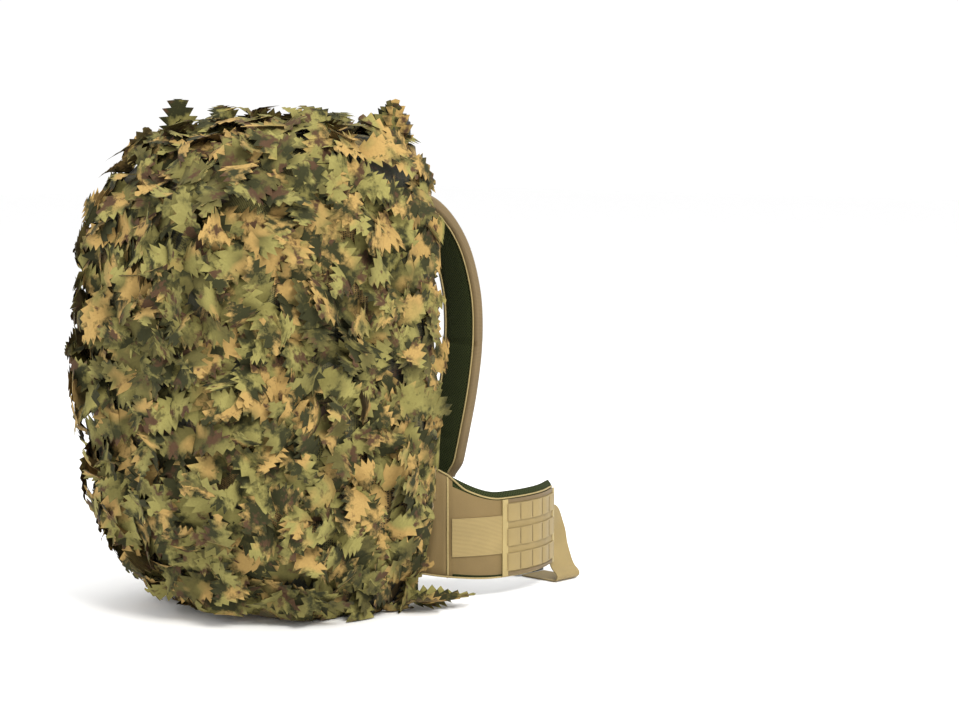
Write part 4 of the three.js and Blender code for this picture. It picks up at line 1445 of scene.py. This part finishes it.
class RUCKSACK_OT_bag(bpy.types.Operator):
    """The full bag, its base, lid and pockets, with zips, straps and buckles"""
    bl_idname = "rucksack.bag"
    bl_label = "Bag"

    def execute(self, context):
        # Each node with its voxel in mm, rounds of relaxing, crease size in m and depth in mm, and the
        # pressure and furthest swelling in mm of its cloth.
        plan = (("main_bag", 7, 3, 0.12, 3.0, 0.0, 5), ("base_compartment", 7, 3, 0.09, 2.5, 0.0, 5),
                ("lid", 6, 4, 0.08, 3.0, 2.5, 9), ("front_pocket", 6, 4, 0.07, 3.0, 2.5, 9),
                ("side_pocket_right", 6, 4, 0.06, 2.6, 2.5, 8), ("side_pocket_left", 6, 4, 0.06, 2.6, 2.5, 8))
        made = {}
        for place, (node, voxel, rounds, size, depth, pressure, cap) in enumerate(plan):
            piece = soft_copy(node, node + "_cloth", voxel * MM, rounds)
            if pressure:
                inflate(piece, pressure, cap * MM)
            crease(piece, size, depth * MM, 3.0 + place, 0.0 if node == "base_compartment" else None)
            made[node] = finish_soft(piece, "textured nylon", "rucksack", [node], 1)
        front = surface_of(made["front_pocket"])
        arch = [((-100 + 200 * k / 60) * MM, 0, (440 - 250 * abs(k / 30 - 1) ** 5) * MM) for k in range(61)]
        zip_on(front, "front_pocket_zip", arch, (0, 1, 0))
        top = surface_of(made["lid"])
        across = [((-130 + 260 * k / 60) * MM, 0, (600 - 6 * abs(k / 30 - 1) ** 3) * MM) for k in range(61)]
        zip_on(top, "lid_zip", across, (0, 1, 0))
        for side, sign in SIDES:
            pocket = surface_of(made["side_pocket_" + side])
            edge = [(0, (-74 + 148 * k / 40) * MM, 402 * MM) for k in range(41)]
            hem = laid_on(pocket, edge, (-sign, 0, 0), 0.6 * MM)
            round_tube("side_pocket_hem_" + side, hem, 3.4 * MM, "rucksack", "binding tape", sides=8)
            upright = [(0, 6 * MM, (140 + 256 * k / 40) * MM) for k in range(41)]
            seam = laid_on(pocket, upright, (-sign, 0, 0), 0.3 * MM)
            round_tube("side_pocket_seam_" + side, seam, 1.4 * MM, "rucksack", "piping", sides=6)
            buckle_on("compression_buckle_" + side)
            for node in ("compression_strap_", "compression_strap_end_", "lid_strap_"):
                dress(node + side, "webbing by place")
            dress("stay_" + side, "drawn aluminium")
        dress("frame_sheet", "moulded acetal")
        return {"FINISHED"}


class RUCKSACK_OT_back(bpy.types.Operator):
    """The back panel and the pads that rest on the wearer's back"""
    bl_idname = "rucksack.back"
    bl_label = "Back panel and pads"

    def execute(self, context):
        panel = soft_copy("back_panel", "back_panel_cloth", 5 * MM, 2)
        crease(panel, 0.06, 1.0 * MM, 21.0)
        finish_soft(panel, "textured nylon", "rucksack", ["back_panel"], 0)
        for place, node in enumerate(("back_pad_right", "back_pad_left", "lumbar_pad")):
            pad = soft_copy(node, node + "_mesh", 4 * MM, 6)
            inflate(pad, 4.0, 6 * MM)
            back = max(v.co.y for v in pad.data.vertices)
            for vertex in pad.data.vertices:
                x, y, z = vertex.co
                channel = abs(abs(x) - 0.045) if node == "lumbar_pad" else abs(z % 0.07 - 0.035)
                if y > back - 12 * MM:
                    vertex.co.y -= 4.0 * MM * math.exp(-(channel / (4 * MM)) ** 2)
            crease(pad, 0.03, 0.7 * MM, 31.0 + place)
            finish_soft(pad, "spacer mesh by place", "rucksack", [node], 1)
        return {"FINISHED"}


# ---- The cover's gathered hem, its drawcord and cord locks ----
LOCK_X = 122
LOCK_Y = 171.45
LOOP_DROP = 46


def gathered_hem():
    """Netting folded round the opening and gathered on the drawcord: tight, uneven ruffles."""
    around = 1000
    profile = ((0.5, -8, 0.0), (3.0, -1, 0.3), (5.5, 5, 0.8), (3.0, 10, 1.0), (-3.5, 12.5, 1.0), (-9.5, 11, 0.8),
               (-13.5, 7, 0.4), (-14.5, 3, 0.2))
    points, faces, uvs = [], [], []
    for k in range(around):
        share = 2 * math.pi * k / around
        angle = ring_angle(k / around)
        turn = Vector((math.cos(share), math.sin(share), 0))
        phase = share * 104 + 5.5 * noise.noise(turn * 6.0) + 2.0 * noise.noise(turn * 21.0)
        size = 1 + 0.7 * noise.noise(turn * 13.0 + Vector((0, 0, 4)))
        for j, (out, back, weight) in enumerate(profile):
            wave = math.sin(phase + 0.35 * j)
            point = outline(2.0, angle, (out + 2.6 * wave * weight * size) * MM)
            clear = 1 - 0.5 * ease((0.17 - point.z) / 0.06) * (back > 0)
            point.y = COVER_BACK + clear * (back + 2.2 * math.cos(phase * 0.5 + j) * weight * size) * MM
            point.z = max(point.z, (1.2 + 0.4 * j) * MM)
            points.append(point)
            uvs.append((share * 0.36, j * 8 * MM))
    rows = len(profile)
    for k in range(around):
        for j in range(rows - 1):
            a = k * rows + j
            b = ((k + 1) % around) * rows + j
            faces.append((a, a + 1, b + 1, b))
    hem = mesh_piece("gathered_hem", points, faces, ["knitted net"], "cover", ["hem_lip"], uvs=uvs)


def cord_lock(side):
    low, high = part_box("cord_lock_body_" + side)
    x, y = (low[0] + high[0]) / 2, (low[1] + high[1]) / 2
    radius = (high[0] - low[0]) / 2
    body = barrel((x, y), radius, low[2], high[2], 1.6 * MM)
    bore = barrel((x, y), radius - 2.5 * MM, low[2] + 3 * MM, high[2] + 5 * MM, 0.4 * MM)
    combine(body, bore, "DIFFERENCE")
    hard_piece(body, "cord_lock_barrel_" + side, "moulded acetal", "cover",
               ["cord_lock_body_" + side])
    low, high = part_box("cord_lock_button_" + side)
    radius = (high[0] - low[0]) / 2
    button = barrel((x, y), radius, low[2], high[2], 1.4 * MM)
    dish = barrel((x, y), radius * 0.55, high[2] - 0.8 * MM, high[2] + 4 * MM, 0.2 * MM)
    combine(button, dish, "DIFFERENCE")
    hard_piece(button, "cord_lock_plunger_" + side, "moulded acetal", "lock_button_" + side,
               ["cord_lock_button_" + side])
    low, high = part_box("cord_lock_spring_" + side)
    coil = []
    for k in range(97):
        turn = 2 * math.pi * k / 24
        rise = low[2] + (high[2] - low[2]) * k / 96
        coil.append(Vector((x + 4.6 * MM * math.cos(turn), y + 4.6 * MM * math.sin(turn), rise)))
    spring = round_tube("cord_lock_coil_" + side, coil, 0.5 * MM, "cover", "spring steel",
                        ["cord_lock_spring_" + side], sides=6)
    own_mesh(spring)


def lock_loop(side, sign):
    """The drawcord's bight below its lock, ending in a knot."""
    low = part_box("cord_lock_body_" + side)[0][2] / MM
    top = low - 0.45
    down = [(-3.5, top), (-3.5, top - 6), (-7, top - 27.6), (-4.2, top - 43.2), (0, top - LOOP_DROP)]
    route = [(LOCK_X + x, LOCK_Y, z) for x, z in down]
    route += [(LOCK_X - x, LOCK_Y, z) for x, z in reversed(down[:-1])]
    line = sided(curve_through(metres(route), 40), sign)
    cord = round_tube("drawcord_loop_" + side, line, 1.5 * MM, "cover", "braided elastic",
                      ["cord_loop_" + side], sides=8)
    knot = []
    middle = Vector((LOCK_X * sign, LOCK_Y, top - LOOP_DROP))
    for k in range(49):
        t = 2 * math.pi * k / 48
        knot.append((middle + Vector((2.2 * (math.sin(t) + 2 * math.sin(2 * t)) * 0.55, 1.8 * math.sin(3 * t),
                                      2.0 * (math.cos(t) - 2 * math.cos(2 * t)) * 0.55))) * MM)
    knot_piece = round_tube("drawcord_knot_" + side, knot, 1.4 * MM, "cover", "braided elastic",
                            sides=6)


class RUCKSACK_OT_drawcord(bpy.types.Operator):
    """The cover's gathered hem, elastic drawcord, cord locks and loops"""
    bl_idname = "rucksack.drawcord"
    bl_label = "Hem and drawcord"

    def execute(self, context):
        for side, sign in SIDES:
            lock_loop(side, sign)
            cord_lock(side)
        ring = [outline(2.0, ring_angle(k / 240), -16.2 * MM) for k in range(240)]
        ring = [Vector((p.x, COVER_BACK + 6.4 * MM, p.z)) for p in ring]
        first = next(k for k, p in enumerate(ring) if p.z < 2.4 * MM)
        ring = [p for p in ring[first:] + ring[:first] if p.z > 2.2 * MM]
        round_tube("hem_elastic", ring, 1.7 * MM, "cover", "braided elastic", ["hem_drawcord"])
        gathered_hem()
        return {"FINISHED"}


# ---- Stage ----
VIEW_AZIMUTH = math.radians(43)
VIEW_HEIGHT = math.radians(6)
VIEW_DISTANCE = 3.25
LENS = 86.0


def aim(obj, forward):
    obj.rotation_euler = forward.to_track_quat("-Z", "Y").to_euler()


def area_light(name, place, target, size, power, tint=(1, 1, 1)):
    lamp = bpy.data.lights.new(name, "AREA")
    lamp.size = size
    lamp.energy = power
    lamp.color = tint
    obj = bpy.data.objects.new(name, lamp)
    obj.location = place
    bpy.context.scene.collection.objects.link(obj)
    aim(obj, Vector(target) - Vector(place))


class RUCKSACK_OT_stage(bpy.types.Operator):
    """Pale floor and backdrop, soft studio lights and the camera"""
    bl_idname = "rucksack.stage"
    bl_label = "Stage"

    def execute(self, context):
        right = Vector((math.cos(VIEW_AZIMUTH), math.sin(VIEW_AZIMUTH), 0))
        ahead = Vector((-math.sin(VIEW_AZIMUTH), math.cos(VIEW_AZIMUTH), 0))
        forward = ahead * math.cos(VIEW_HEIGHT) - Vector((0, 0, 1)) * math.sin(VIEW_HEIGHT)
        up = right.cross(forward)
        target = right * 0.312 + up * 0.347
        camera = bpy.data.objects.new("camera", bpy.data.cameras.new("camera"))
        camera.data.lens = LENS
        camera.data.dof.use_dof = False
        camera.location = target - forward * VIEW_DISTANCE
        aim(camera, forward)
        context.scene.collection.objects.link(camera)
        context.scene.camera = camera

        bpy.ops.object.select_all(action="DESELECT")
        bpy.ops.mesh.primitive_plane_add(size=1.0, location=(0, 0, -0.0005))
        floor = context.object
        floor.name = "floor"
        floor.scale = (30, 30, 1)
        paper, tree, shader = start_material("backdrop paper", {"Roughness": 0.9, "IOR": 1.3})
        place = add(tree, "ShaderNodeTexCoord").outputs["Object"]
        grain = add(tree, "ShaderNodeTexNoise", {"Vector": place, "Scale": 400.0, "Detail": 2.0})
        tone = mixed(tree, grain.outputs[0], (0.95, 0.95, 0.95, 1), (0.98, 0.98, 0.98, 1))
        tree.links.new(tone, shader.inputs["Base Color"])
        floor.data.materials.append(paper)

        middle = (0, 0.1, 0.35)
        area_light("key", (2.6, -0.9, 2.5), middle, 1.0, 112, (1.0, 0.98, 0.94))
        area_light("fill", (-1.6, -2.8, 1.5), middle, 2.2, 34, (0.95, 0.97, 1.0))
        area_light("top", (0.2, 0.6, 3.2), middle, 2.0, 42)
        world = bpy.data.worlds.new("studio")
        world.use_nodes = True
        back = world.node_tree.nodes["Background"]
        back.inputs["Color"].default_value = (1.0, 1.0, 1.0, 1.0)
        back.inputs["Strength"].default_value = 1.03
        context.scene.world = world
        context.scene.view_settings.view_transform = "Standard"
        return {"FINISHED"}


OPERATORS = [
    RUCKSACK_OT_stage,
    RUCKSACK_OT_drawcord,
    RUCKSACK_OT_bag,
    RUCKSACK_OT_back,
    RUCKSACK_OT_shoulder_straps,
    RUCKSACK_OT_hip_belt,
    RUCKSACK_OT_cover_cloth,
    RUCKSACK_OT_leaves,
]


class RUCKSACK_PT_sidebar(bpy.types.Panel):
    """Lists the pieces in the order in which they are made"""
    bl_idname = "RUCKSACK_PT_sidebar"
    bl_label = "Rucksack"
    bl_space_type = "VIEW_3D"
    bl_region_type = "UI"
    bl_category = "Rucksack"

    def draw(self, context):
        for operator in OPERATORS:
            self.layout.operator(operator.bl_idname)
        for group in SIZE_GROUPS:
            sizes = getattr(context.scene, group)
            for name in sizes.__annotations__:
                self.layout.prop(sizes, name)


CLASSES = [*SIZE_GROUPS.values(), *OPERATORS, RUCKSACK_PT_sidebar]


def register():
    for cls in CLASSES:
        bpy.utils.register_class(cls)
    for name, group in SIZE_GROUPS.items():
        setattr(bpy.types.Scene, name, bpy.props.PointerProperty(type=group))


def unregister():
    for name in SIZE_GROUPS:
        delattr(bpy.types.Scene, name)
    for cls in reversed(CLASSES):
        bpy.utils.unregister_class(cls)


def main():
    register()
    for operator in OPERATORS:
        family, action = operator.bl_idname.split(".")
        getattr(getattr(bpy.ops, family), action)()
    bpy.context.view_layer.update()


if __name__ == "__main__":
    main()
